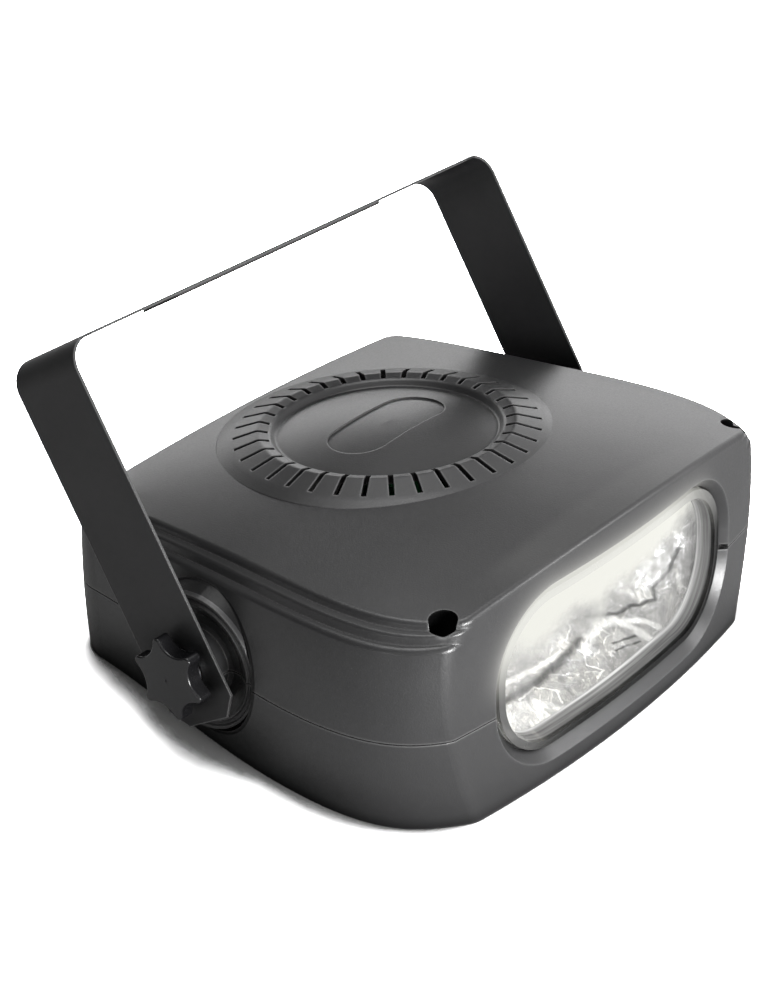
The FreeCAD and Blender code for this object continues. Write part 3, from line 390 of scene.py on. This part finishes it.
def flash_halo(x, y, z):
    """The painted glow of the flash on what lies round the upper edge of the window."""
    fade = calculate("EXPONENT", larger(window_distance(x, z), 0.0) * (-1.0 / GLOW_REACH))
    return fade * smooth(z, *GLOW_Z) * (smooth(y, *GLOW_Y) * smooth(x, *GLOW_X))


def in_screw_wells(x, y):
    """1 inside the two deep wells over the front screws."""
    squares = (abs(x) - WELL_X) ** 2.0 + (y - WELL_Y) ** 2.0
    return below(squares, WELL_R ** 2)


def on_boss_flank(x, y, z):
    """1 on the sloping flank outside the outer bead of each pivot boss."""
    squares = (y - PIVOT_Y) ** 2.0 + (z - PIVOT_Z) ** 2.0
    inner, outer = FLANK_R
    ring = above(squares, inner ** 2) * below(squares, outer ** 2)
    return ring * above(abs(x), FLANK_X)


def shade_in_wells_and_flanks(tree):
    """Painted shade: what is left of the housing's tone, little in the screw wells and on the bosses'
    flanks.
    """
    x, y, z = object_axes(tree)
    return remap(in_screw_wells(x, y), 1.0, WELL_SHARE) * remap(on_boss_flank(x, y, z), 1.0, FLANK_SHARE)


def away_from_bends(tree):
    """0 where the bracket's bar runs on into its arms."""
    return smooth(abs(abs(object_axes(tree)[0]) - BEND_X), *SEAM_FADE)


# ---- plain materials ------------------------------------------------------------------------

HOUSING_GLOW = 0.46
HOUSING_GLOW_COLOUR = (1.0, 0.985, 0.93, 1.0)


def moulded_housing():
    """Charcoal moulding, with painted highlights on its edges, painted shade in its grooves, corners,
    screw wells and boss flanks, and a painted glow of the flash round the top of the window.
    """
    made = surface("moulded_charcoal", (0.025, 0.025, 0.026), (0.035, 0.035, 0.036), rough=(0.30, 0.40),
                   grain=(1700.0, 0.26), edge=0.6 * MM, patch_scale=22.0, specular=0.85,
                   edge_highlight=(1.7 * MM, 0.14), shaded=(6.0 * MM, 0.42), painted_shade=shade_in_wells_and_flanks)
    tree = made.node_tree
    shader = tree.nodes["Principled BSDF"]
    # Painted glow of the flash round the top of the window.
    feed(HOUSING_GLOW_COLOUR, shader.inputs["Emission Color"])
    feed(flash_halo(*object_axes(tree)) * HOUSING_GLOW, shader.inputs["Emission Strength"])
    return made


dress(["upper_shell", "lower_shell"], moulded_housing())
# The bracket's powder coat carries a painted highlight along its edges and painted shade in its grooves and
# corners.
dress(["bracket_bar", "left_bracket_arm", "right_bracket_arm"],
      surface("powder_coat_black", (0.013, 0.013, 0.014), (0.018, 0.018, 0.019), rough=(0.38, 0.48),
              grain=(3200.0, 0.12), edge=0.7 * MM, patch_scale=40.0, edge_highlight=(1.2 * MM, 0.18),
              shaded=(20.0 * MM, 0.4), seams=away_from_bends))
# The knobs carry painted shade in their grooves and corners.
dress(["left_knob", "right_knob", "rate_knob", "fuse_cap"],
      surface("knob_black", (0.009, 0.009, 0.010), (0.013, 0.013, 0.014), rough=(0.18, 0.26),
              grain=(1500.0, 0.004), edge=0.0, specular=0.65, shaded=(10.0 * MM, 0.35)))
dress(["lens_seal", "left_friction_pad", "right_friction_pad"],
      surface("rubber_black", (0.010, 0.010, 0.010), (0.016, 0.016, 0.016), rough=(0.70, 0.85),
              grain=(900.0, 0.2)))
dress(["left_stud", "right_stud", "left_washer", "right_washer", "board_screws", "case_screws_rear",
       "reflector_bracket", "reflector_rivets"],
      surface("zinc_steel", (0.55, 0.56, 0.58), (0.68, 0.69, 0.70), rough=(0.25, 0.40),
              grain=(700.0, 0.08), metallic=1.0))
dress(["case_screws_front"],
      surface("black_oxide", (0.02, 0.02, 0.022), (0.035, 0.035, 0.037), rough=(0.35, 0.5),
              grain=(900.0, 0.08), metallic=0.6))
dress(["left_pivot_insert", "right_pivot_insert"],
      surface("turned_brass", (0.62, 0.46, 0.19), (0.74, 0.57, 0.27), rough=(0.25, 0.38),
              grain=(800.0, 0.06), metallic=1.0))
dress(["tube_electrodes", "trigger_wire"],
      surface("nickel_wire", (0.52, 0.51, 0.49), (0.64, 0.63, 0.60), rough=(0.22, 0.35),
              grain=(900.0, 0.04), metallic=1.0))
dress(["tube_holders"],
      surface("holder_grey", (0.32, 0.32, 0.31), (0.42, 0.42, 0.41), rough=(0.30, 0.42),
              grain=(900.0, 0.06)))
dress(["tube_leads"],
      surface("lead_red", (0.35, 0.03, 0.02), (0.46, 0.05, 0.035), rough=(0.4, 0.5), grain=(600.0, 0.05)))
dress(["circuit_board"],
      surface("board_green", (0.02, 0.12, 0.05), (0.03, 0.17, 0.07), rough=(0.30, 0.42),
              grain=(900.0, 0.05), patch_scale=150.0))
dress(["flash_capacitors"],
      surface("can_sleeve", (0.03, 0.04, 0.07), (0.05, 0.06, 0.10), rough=(0.28, 0.38), grain=(500.0, 0.04)))
dress(["trigger_transformer"],
      surface("varnished_iron", (0.12, 0.11, 0.10), (0.20, 0.18, 0.16), rough=(0.35, 0.55),
              grain=(400.0, 0.12), metallic=0.4))
dress(["power_resistor"],
      surface("ceramic_white", (0.70, 0.68, 0.62), (0.80, 0.78, 0.72), rough=(0.6, 0.75),
              grain=(700.0, 0.12)))
dress(["rectifier_diodes"],
      surface("epoxy_black", (0.02, 0.02, 0.02), (0.03, 0.03, 0.03), rough=(0.3, 0.4), grain=(900.0, 0.05)))
dress(["terminal_block"],
      surface("terminal_green", (0.03, 0.18, 0.07), (0.05, 0.24, 0.10), rough=(0.4, 0.5),
              grain=(700.0, 0.05)))
dress(["rate_potentiometer", "fuse_holder", "fuse_nut", "cable_gland", "gland_nut"],
      surface("nylon_black", (0.022, 0.022, 0.023), (0.030, 0.030, 0.031), rough=(0.42, 0.55),
              grain=(1500.0, 0.08), edge=0.4 * MM))
dress(["cartridge_fuse"],
      surface("fuse_metal", (0.60, 0.60, 0.58), (0.70, 0.70, 0.68), rough=(0.2, 0.3),
              grain=(700.0, 0.04), metallic=1.0))


# ---- lens and flash tube --------------------------------------------------------------------

# Side walls: how far a face turns before it counts as one, the depth of the rim, the tones of
# painted shade and highlight by the share of the depth down to the face, black at the rim and
# bright at the corner by the face, and how the lines are drawn out along X, depth and Z.
WALL_TURN = (0.85, 0.55)
WALL_RIM = (6.0 * MM, 5.0 * MM)
WALL_PAINTED_TONES = ((0.24, 0.002), (0.37, 0.004), (0.43, 0.12), (0.62, 0.16), (0.84, 0.21), (0.93, 0.52),
              (0.99, 0.36))
WALL_LINES = (14.0, 620.0, 14.0)
WALL_LINE_TONES = (0.35, 1.9)
WALL_HALO = 0.30
WALL_COVER = 0.92

# Face: its tone, its streaks at both ends, the one pale pillar and the thin haze all over.
FACE_TONE = 0.30
FACE_STREAKS = (210.0, 30.0, 7.0)
STREAK_TONES = (0.46, 0.72)
STREAKED_X = -4.0 * MM
STREAKED_ENDS = (30.0 * MM, 52.0 * MM)
STREAK_COVER = 0.30
PILLAR_X = -49.0 * MM
PILLAR_FADE = (5.5 * MM, 3.5 * MM)
PILLAR_COVER = 0.16
HAZE_COVER = 0.05

# Glare, painted as a glow on the face: the heights between which it sets in, its clouds, how far
# its lower edge rises at the ends and at the right end, and what it adds.
GLARE_Z = (34.0 * MM, 58.0 * MM)
CLOUD = 9.0 * MM
CLOUD_SCALE = 38.0
CLOUD_STRETCH = (1.0, 1.0, 1.4)
BOTH_ENDS = (34.0 * MM, 70.0 * MM)
BOTH_ENDS_RISE = 9.0 * MM
RIGHT_END = (40.0 * MM, 68.0 * MM)
RIGHT_END_RISE = 8.0 * MM
GLARE_GLOW = 0.85
GLARE_COVER = 0.93

# Lip: its depth, the slope and width of the fade towards the lower right, its own painted light
# tone, and how much of the painted halo of the flash and of the foil's broken light, painted as a
# glow, it catches.
LIP_DEPTH = (5.4 * MM, 4.6 * MM)
LIP_SLOPE = 0.8
LIP_FADE = (0.0, 0.7)
LIP_TONE = 0.06
LIP_HALO = 0.66
LIP_FOIL = 0.12
LIP_FOIL_TONES = (0.05, 0.70)
LIP_FOIL_NOISE = (0.35, 0.65)

LENS_GLOW_COLOUR = (1.0, 1.0, 0.925, 1.0)
LENS_IOR = 1.45
LENS_ROUGH = (0.10, 0.20)
LENS_RELIEF = (0.10, 0.4 * MM)
TUBE_COLOUR = (1.0, 0.98, 0.92, 1.0)
TUBE_GLOW_COLOUR = (1.0, 0.965, 0.88, 1.0)
TUBE_GLOW = (1.6, 2.2)
TUBE_ROUGH = (0.05, 0.12)


def lens_walls(tree, depth):
    """1 on the side walls of the dish and on its rim, 0 on its face."""
    normal = add(tree, "SeparateXYZ", {0: add(tree, "TexCoord").outputs["Normal"]})
    upright = smooth(abs(Field(normal.outputs[1])), *WALL_TURN)
    return larger(upright, smooth(depth, *WALL_RIM))


def drawn_lines(tree, x, depth, z):
    """A noise drawn out into fine lines that run along the side walls."""
    drawn = [axis * scale for axis, scale in zip((x, depth, z), WALL_LINES)]
    where = add(tree, "CombineXYZ", dict(enumerate(drawn))).outputs[0]
    inputs = {"Vector": where, "Scale": 1.0, "Detail": 3.0, "Roughness": 0.6}
    return Field(add(tree, "TexNoise", inputs).outputs["Fac"])


def face_veil(x, streaks):
    """How far the streaks at both ends and the pillar cloud the clear face."""
    ends = smooth(abs(x - STREAKED_X), *STREAKED_ENDS)
    pillar = smooth(abs(x - PILLAR_X), *PILLAR_FADE)
    return smooth(streaks, *STREAK_TONES) * (ends * STREAK_COVER) + pillar * PILLAR_COVER


def flash_glare(tree, x, z):
    """The painted glare of the flash along the top of the face, with a cloudy lower edge."""
    clouds = noise_field(tree, CLOUD_SCALE, 5.0, CLOUD_STRETCH)
    both_ends = smooth(abs(x), *BOTH_ENDS) * BOTH_ENDS_RISE
    right_end = smooth(x, *RIGHT_END) * RIGHT_END_RISE
    level = z + remap(clouds, -CLOUD, CLOUD, *MOST_OF_A_NOISE) - (both_ends + right_end)
    return smooth(level, *GLARE_Z)


def lit_lip(x, depth, z):
    """1 on the lens's rim along the top and the left, where the painted light of the flash reaches it."""
    across = x / (WINDOW_HALF_W / LIP_SLOPE)
    lower = (WINDOW_Z - z) / WINDOW_HALF_H
    return smooth(depth, *LIP_DEPTH) * (1.0 - smooth(across + lower, *LIP_FADE))


def clear_plastic():
    """A clear dish. Its face carries drawn streaks and a painted glare of the flash along the top, its
    side walls go from painted black shade at the rim through drawn greys to a painted highlight at
    the corner by the face, and its rim along the top and the left carries a painted tone and glow."""
    made, tree, shader = new_material("clear_plastic")
    x, y, z = object_axes(tree)
    depth = front_depth(x, y, z)
    wall = lens_walls(tree, depth)
    lines = drawn_lines(tree, x, depth, z)
    streaks = noise_field(tree, 1.0, 2.0, FACE_STREAKS)
    glare = flash_glare(tree, x, z)
    face_glare = glare * (1.0 - wall)
    lip = lit_lip(x, depth, z)
    halo = flash_halo(x, y, z)

    # Painted shade on the side walls, black at the rim, through drawn greys to a painted highlight at the
    # corner by the face.
    painted_wall_tone = tone_ramp(tree, depth / LENS_FACE_DEPTH, WALL_PAINTED_TONES)
    side_tone = larger(painted_wall_tone * remap(lines, *WALL_LINE_TONES, *MOST_OF_A_NOISE), lip * LIP_TONE)
    face_tone = (1.0 - glare) * FACE_TONE
    feed(blend(tree, "FLOAT", wall, face_tone, side_tone), shader.inputs["Base Color"])

    # Painted glow: the flash's glare on the face, its halo on the walls, and on the lip the halo and the
    # foil's broken light.
    foil_tone = remap(lines, *LIP_FOIL_TONES, *LIP_FOIL_NOISE) * (1.0 - halo)
    lip_glow = lip * (halo * LIP_HALO + foil_tone * LIP_FOIL)
    glow = face_glare * GLARE_GLOW + larger(lip_glow, halo * (wall * WALL_HALO))
    feed(LENS_GLOW_COLOUR, shader.inputs["Emission Color"])
    feed(glow, shader.inputs["Emission Strength"])

    cover = face_veil(x, streaks) + HAZE_COVER + face_glare * GLARE_COVER
    feed(smaller(1.0, larger(cover, wall * WALL_COVER)), shader.inputs["Alpha"])
    feed(LENS_IOR, shader.inputs["IOR"])
    feed(remap(streaks, *LENS_ROUGH), shader.inputs["Roughness"])
    relief(tree, shader, streaks, *LENS_RELIEF)
    return made


def flash_glass():
    """The glowing glass of the flash tube."""
    made, tree, shader = new_material("flash_glass")
    feed(TUBE_COLOUR, shader.inputs["Base Color"])
    feed(TUBE_GLOW_COLOUR, shader.inputs["Emission Color"])
    feed(remap(noise_field(tree, 300.0, 2.0), *TUBE_GLOW), shader.inputs["Emission Strength"])
    feed(remap(noise_field(tree, 200.0), *TUBE_ROUGH), shader.inputs["Roughness"])
    return made


dress(["front_lens"], clear_plastic())
dress(["xenon_tube"], flash_glass())


# ---- crumpled reflector ---------------------------------------------------------------------

# Half width, half height and corner radius of the foil's edge behind the lens, and of the open rim
# and the back of its trough, in mm.
LIP = (73.6, 32.6, 28.5)
RIM = (70.5, 30.2, 25.0)
BACK = (48.0, 17.0, 8.0)
LENS_GAP = 0.5
MIDDLE_Z = WINDOW_Z / MM
TROUGH_CENTRE = Vector((0.0, -76.0, MIDDLE_Z))

# Rings of points in each stretch of the foil, the rings over which its folds grow to their full
# height, the points in a ring and the steps round a corner.
LIP_RINGS, WALL_RINGS, BACK_RINGS = 3, 14, 9
HELD_RINGS = 4.0
POINTS_ROUND = 150
CORNER_STEPS = 24

# Folds, wrinkles and ripples of the sheet: how many of them there are per mm, and their height in mm.
FOLDS = (0.085, 2.6)
WRINKLES = (0.19, 1.0)
RIPPLES = (0.5, 0.5)
WRINKLE_SHIFT = Vector((7.0, 3.0, 5.0))


def rounded_outline(half_w, half_h, r):
    """Points round a rounded rectangle, evenly by distance, as (x, z) from its centre."""
    corners = []
    for quarter, (sx, sz) in enumerate(((1, 1), (-1, 1), (-1, -1), (1, -1))):
        centre = Vector((sx * (half_w - r), sz * (half_h - r)))
        for i in range(CORNER_STEPS + 1):
            angle = math.pi / 2 * (quarter + i / CORNER_STEPS)
            corners.append(centre + r * Vector((math.cos(angle), math.sin(angle))))
    corners.append(corners[0])
    lengths = [(b - a).length for a, b in zip(corners, corners[1:])]
    step = sum(lengths) / POINTS_ROUND
    points, run, i = [], 0.0, 0
    for k in range(POINTS_ROUND):
        target = k * step
        while run + lengths[i] < target:
            run += lengths[i]
            i += 1
        points.append(corners[i].lerp(corners[i + 1], (target - run) / lengths[i]))
    return points


def crumple(point):
    """How far a crumpled sheet stands off its plain form at a point, in mm."""
    (fold_scale, fold_height), (scale, height), (ripple_scale, ripple_height) = FOLDS, WRINKLES, RIPPLES
    nearest, second = noise.voronoi(point * fold_scale)[0][:2]
    near, next_near = noise.voronoi(point * scale + WRINKLE_SHIFT)[0][:2]
    ripple = ripple_height * noise.noise(point * ripple_scale)
    return fold_height * (second - nearest) + height * (next_near - near) + ripple


def behind_lens(x, z):
    """The Y just behind the lens, in mm."""
    front = FRONT_Y + FRONT_LEAN * z * MM + (x * MM) ** 2 / (2 * FRONT_BOW_R)
    return (front + LENS_BACK_DEPTH) / MM + LENS_GAP


def foil_ring(outline, depth_at):
    """A rounded outline round the trough's middle, with the Y that depth_at gives, in mm."""
    return [Vector((x, depth_at(x, z + MIDDLE_Z), z + MIDDLE_Z)) for x, z in rounded_outline(*outline)]


def foil_sections():
    """Rings of points in mm, from behind the edge of the lens, over the rim to the middle of the back."""
    lip = foil_ring(LIP, behind_lens)
    rim = foil_ring(RIM, lambda x, z: TROUGH_RIM_Y / MM)
    back = foil_ring(BACK, lambda x, z: TROUGH_BACK_Y / MM)
    middle = [Vector((0.0, TROUGH_BACK_Y / MM, MIDDLE_Z))] * POINTS_ROUND
    sections = []
    for start, end, rings in ((lip, rim, LIP_RINGS), (rim, back, WALL_RINGS), (back, middle, BACK_RINGS)):
        sections += [[a.lerp(b, i / rings) for a, b in zip(start, end)] for i in range(rings)]
    return sections


def crumpled_reflector():
    """The reflector's trough, pressed from bright foil: its walls and back are full of sharp folds."""
    sections = foil_sections()
    vertices = []
    for i, section in enumerate(sections):
        freedom = min(1.0, i / HELD_RINGS)
        for point in section:
            inward = (TROUGH_CENTRE - point).normalized()
            vertices.append((point + inward * crumple(point) * freedom) * MM)
    last_ring = (len(sections) - 1) * POINTS_ROUND
    faces = []
    for start in range(0, last_ring, POINTS_ROUND):
        for k in range(POINTS_ROUND):
            a, b = start + k, start + (k + 1) % POINTS_ROUND
            faces.append((a, b, b + POINTS_ROUND, a + POINTS_ROUND))
    faces.append(tuple(range(last_ring, last_ring + POINTS_ROUND)))
    mesh = bpy.data.meshes.new("reflector_foil")
    mesh.from_pydata(vertices, [], faces)
    mesh.update()
    return bpy.data.objects.new("reflector_foil", mesh)


# Folds that show in the lower wall of the foil, painted as shade on the dark ones and as highlights
# on the bright ones: (x, y) along each, in pixels of a cut from the photo, then the fold's half width
# in mm. The cut starts at its corner and is enlarged by its scale.
CUT_CORNER = (470, 470)
CUT_SCALE = 3
SHADED_FOLDS = (
    (((350, 440), (430, 432), (500, 405), (550, 390), (548, 352), (600, 300), (622, 235)), 1.5),
    (((78, 706), (180, 650), (245, 600), (300, 540), (330, 510)), 3.2),
    (((430, 520), (497, 497)), 1.1),
    (((440, 541), (509, 514)), 0.9),
)
HIGHLIT_FOLDS = (
    (((345, 520), (385, 465), (440, 450), (500, 480), (545, 510)), 3.4),
    (((430, 454), (520, 452), (565, 470)), 2.4),
    (((340, 545), (352, 585), (400, 600), (385, 625)), 0.8),
    (((150, 690), (190, 655), (260, 660), (280, 700)), 0.8),
    (((99, 645), (230, 575), (280, 545)), 1.9),
)

# Looks of the foil: how far its folds waver, the share of a fold that is its full middle, how far
# facets bend, what facets and wrinkles add to the tone as painted reflection, the tones of the
# painted highlights on creases and folds and of the painted shade in dark folds, and a painted glow.
FOLD_WAVER = 2.4 * MM
FOLD_CORE = 0.1
FACET_WARP = 12.0 * MM
FACET_SHARE = 0.45
WRINKLE_SHARE = 0.85
FACET_TONES = ((0.34, 0.30), (0.46, 0.40), (0.58, 0.50), (0.70, 0.60), (0.80, 0.88))
CREASE_WIDTH = 0.035
CREASED = (0.46, 0.56)
CREASE_HIGHLIGHT_TONE = 0.30
HIGHLIGHT_TONE = 0.60
FOLD_SHADE_TONE = 0.22
FOIL_GLOW = 0.40
FOIL_GLOW_COLOUR = (1.0, 0.995, 0.96, 1.0)
FOIL_ROUGH = (0.16, 0.30)
FOIL_RELIEF = (0.6, 3.0 * MM)


def on_sheet(sheet, places):
    """The points of the sheet that show at places in the cut from the photo."""
    left, top = CUT_CORNER
    pixels = [(left + x / CUT_SCALE, top + y / CUT_SCALE) for x, y in places]
    return [sheet.ray_cast(CAMERA_PLACE, line_of_sight(*pixel))[0] for pixel in pixels]


def near_folds(tree, where, sheet, folds):
    """1 along the middle of the nearest fold, 0 beyond its half width."""
    nearest = 0.0
    for places, half_width in folds:
        points = on_sheet(sheet, places)
        for start, end in zip(points, points[1:]):
            run = end - start
            offset = vector_step(tree, "SUBTRACT", where, start)
            along = vector_step(tree, "DOT_PRODUCT", offset, run / run.length_squared)
            foot = vector_step(tree, "SCALE", run, scale=smaller(larger(along, 0.0), 1.0))
            gap = vector_step(tree, "DISTANCE", offset, foot)
            nearest = larger(nearest, smooth(gap, half_width * MM, FOLD_CORE * half_width * MM))
    return nearest


def wavering(tree, reach):
    """Object coordinates pushed about by a soft noise, by up to half the reach."""
    push = add(tree, "TexNoise", {"Vector": coordinates(tree), "Scale": 170.0, "Detail": 2.0})
    centred = vector_step(tree, "SUBTRACT", push.outputs["Color"], (0.5, 0.5, 0.5))
    return vector_step(tree, "MULTIPLY_ADD", centred, (reach, reach, reach), coordinates(tree))


def bent_coordinates(tree, reach):
    """Object coordinates that a broad noise bends, so that facets and creases aren't straight."""
    broad = {"Vector": coordinates(tree), "Scale": 55.0, "Detail": 3.0, "Roughness": 0.55}
    bend = add(tree, "TexNoise", broad).outputs["Color"]
    return vector_step(tree, "MULTIPLY_ADD", bend, (reach, reach, reach), coordinates(tree))


def bright_foil(mesh):
    """Bright foil with a painted glow as if lit by the flash: broad facets in many greys of painted
    reflection, painted highlights along sharp creases, and the painted highlights and shade of the
    folds that show in the photo, where they lie on the foil's mesh."""
    made, tree, shader = new_material("bright_foil")
    corners = [vertex.co for vertex in mesh.vertices]
    sheet = BVHTree.FromPolygons(corners, [tuple(face.vertices) for face in mesh.polygons])
    bent = bent_coordinates(tree, FACET_WARP)
    inputs = {"Vector": bent, "Scale": 48.0, "Smoothness": 0.25}
    facets = add(tree, "TexVoronoi", inputs, feature="SMOOTH_F1")
    cell = add(tree, "SeparateColor", {0: facets.outputs["Color"]})
    facet_tone, facet_height = Field(cell.outputs[0]), Field(cell.outputs[1])
    creases = add(tree, "TexVoronoi", {"Vector": bent, "Scale": 62.0}, feature="DISTANCE_TO_EDGE")
    gap = Field(creases.outputs["Distance"])
    inputs = {"Vector": bent, "Scale": 90.0, "Detail": 6.0, "Roughness": 0.6, "Distortion": 1.8}
    fine = Field(add(tree, "TexNoise", inputs).outputs["Fac"])

    # Painted reflection in the facet greys, painted highlights on creases and bright folds, painted shade in
    # dark folds.
    tone = tone_ramp(tree, facet_tone * FACET_SHARE + fine * WRINKLE_SHARE, FACET_TONES)
    crease = smooth(gap, CREASE_WIDTH, 0.0) * smooth(fine, *CREASED)
    where = wavering(tree, FOLD_WAVER)
    painted_highlights = crease * CREASE_HIGHLIGHT_TONE + near_folds(tree, where, sheet, HIGHLIT_FOLDS) * HIGHLIGHT_TONE
    painted_fold_shade = remap(near_folds(tree, where, sheet, SHADED_FOLDS), 1.0, FOLD_SHADE_TONE)
    lit = smaller(1.0, (tone + painted_highlights) * painted_fold_shade)

    feed(lit, shader.inputs["Base Color"])
    feed(1.0, shader.inputs["Metallic"])
    feed(remap(noise_field(tree, 240.0), *FOIL_ROUGH), shader.inputs["Roughness"])
    feed(FOIL_GLOW_COLOUR, shader.inputs["Emission Color"])
    feed(lit * FOIL_GLOW, shader.inputs["Emission Strength"])
    relief(tree, shader, fine + facet_height, *FOIL_RELIEF)
    return made


foil = crumpled_reflector()
scene.collection.objects.link(foil)
foil.data.materials.append(bright_foil(foil.data))
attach(foil, "housing")
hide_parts("reflector")


# ---- light and floor ------------------------------------------------------------------------

# Each lamp's place, the point it faces, its width and height, in metres, and its power in watts.
LAMPS = {
    "back_right": ((1.55, 1.08, 0.45), (0.05, 0.0, 0.05), (2.6, 0.5), 9.4),
    "front_right": ((0.75, -1.05, 0.75), (0.0, -0.05, 0.04), (0.5, 0.4), 4.2),
    "front_low": ((-0.22, -0.94, 0.20), (-0.08, -0.08, 0.03), (0.40, 0.24), 11.5),
    "left": ((-1.10, -0.15, 0.24), (-0.12, 0.0, 0.03), (0.3, 0.2), 0.4),
    "top": ((0.10, 0.25, 1.45), (0.0, 0.0, 0.05), (0.8, 0.8), 6.2),
}

# Floor: its tone in the picture and for the light that it throws back, and the soft shadow under
# the object, which adds to the lamps' own.
FLOOR_SIZE = 8.0
FLOOR_DROP = 0.2 * MM
FLOOR_SEEN = 10.5
FLOOR_BOUNCE = 0.52
SHADOW_SAMPLES = 16
SHADOW_REACH = 36.0 * MM
SHADOW_OPEN = (0.50, 0.93)
SHADOW_DARKEST = 0.03

# Sky: the direction it is bright in, its strength there, and how far round the light fades.
SKY_BRIGHT_SIDE = (0.55, -0.55, 0.15)
SKY_BRIGHTEST = 0.70
SKY_SPREAD = 0.8


def area_light(name, place, target, size, power):
    lamp = bpy.data.lights.new(name, "AREA")
    lamp.shape = "RECTANGLE"
    lamp.size, lamp.size_y = size
    lamp.energy = power
    made = bpy.data.objects.new(name, lamp)
    scene.collection.objects.link(made)
    made.location = place
    made.rotation_euler = (Vector(target) - Vector(place)).to_track_quat("-Z", "Y").to_euler()


def floor_white():
    """White in the picture and a dull grey for the light it throws back, darker close to the object."""
    made = bpy.data.materials.new("floor_white")
    made.use_nodes = True
    tree = made.node_tree
    tree.nodes.clear()
    bounce, seen = [(tone, tone, tone, 1.0) for tone in (FLOOR_BOUNCE, FLOOR_SEEN)]
    plain = blend(tree, "RGBA", add(tree, "LightPath").outputs["Is Camera Ray"], bounce, seen)
    near = add(tree, "AmbientOcclusion", {"Distance": SHADOW_REACH}, samples=SHADOW_SAMPLES)
    contact = remap(Field(near.outputs["AO"]), SHADOW_DARKEST, 1.0, *SHADOW_OPEN)
    diffuse = add(tree, "BsdfDiffuse", {"Color": vector_step(tree, "SCALE", plain, scale=contact)})
    add(tree, "OutputMaterial", {"Surface": diffuse.outputs[0]})
    return made


def make_floor():
    bpy.ops.mesh.primitive_plane_add(size=FLOOR_SIZE, location=(0, 0, -FLOOR_DROP))
    floor = bpy.context.object
    floor.name = "floor"
    floor.data.materials.append(floor_white())
    return floor


def make_sky():
    """White where the camera looks, and a soft light that grows towards the bright side."""
    world = bpy.data.worlds.new("studio")
    scene.world = world
    world.use_nodes = True
    tree = world.node_tree
    background = tree.nodes["Background"]
    path = add(tree, "LightPath")
    direct = larger(Field(path.outputs["Is Camera Ray"]), Field(path.outputs["Is Transmission Ray"]))
    facing = vector_step(tree, "DOT_PRODUCT", add(tree, "TexCoord").outputs["Generated"], SKY_BRIGHT_SIDE)
    soft = remap(facing, 0.0, SKY_BRIGHTEST, -SKY_SPREAD, SKY_SPREAD)
    feed((1.0, 1.0, 1.0, 1.0), background.inputs["Color"])
    feed(larger(direct, soft), background.inputs["Strength"])


for lamp_name, lamp_settings in LAMPS.items():
    area_light(lamp_name, *lamp_settings)
make_floor()
make_sky()
scene.view_settings.view_transform = "Standard"
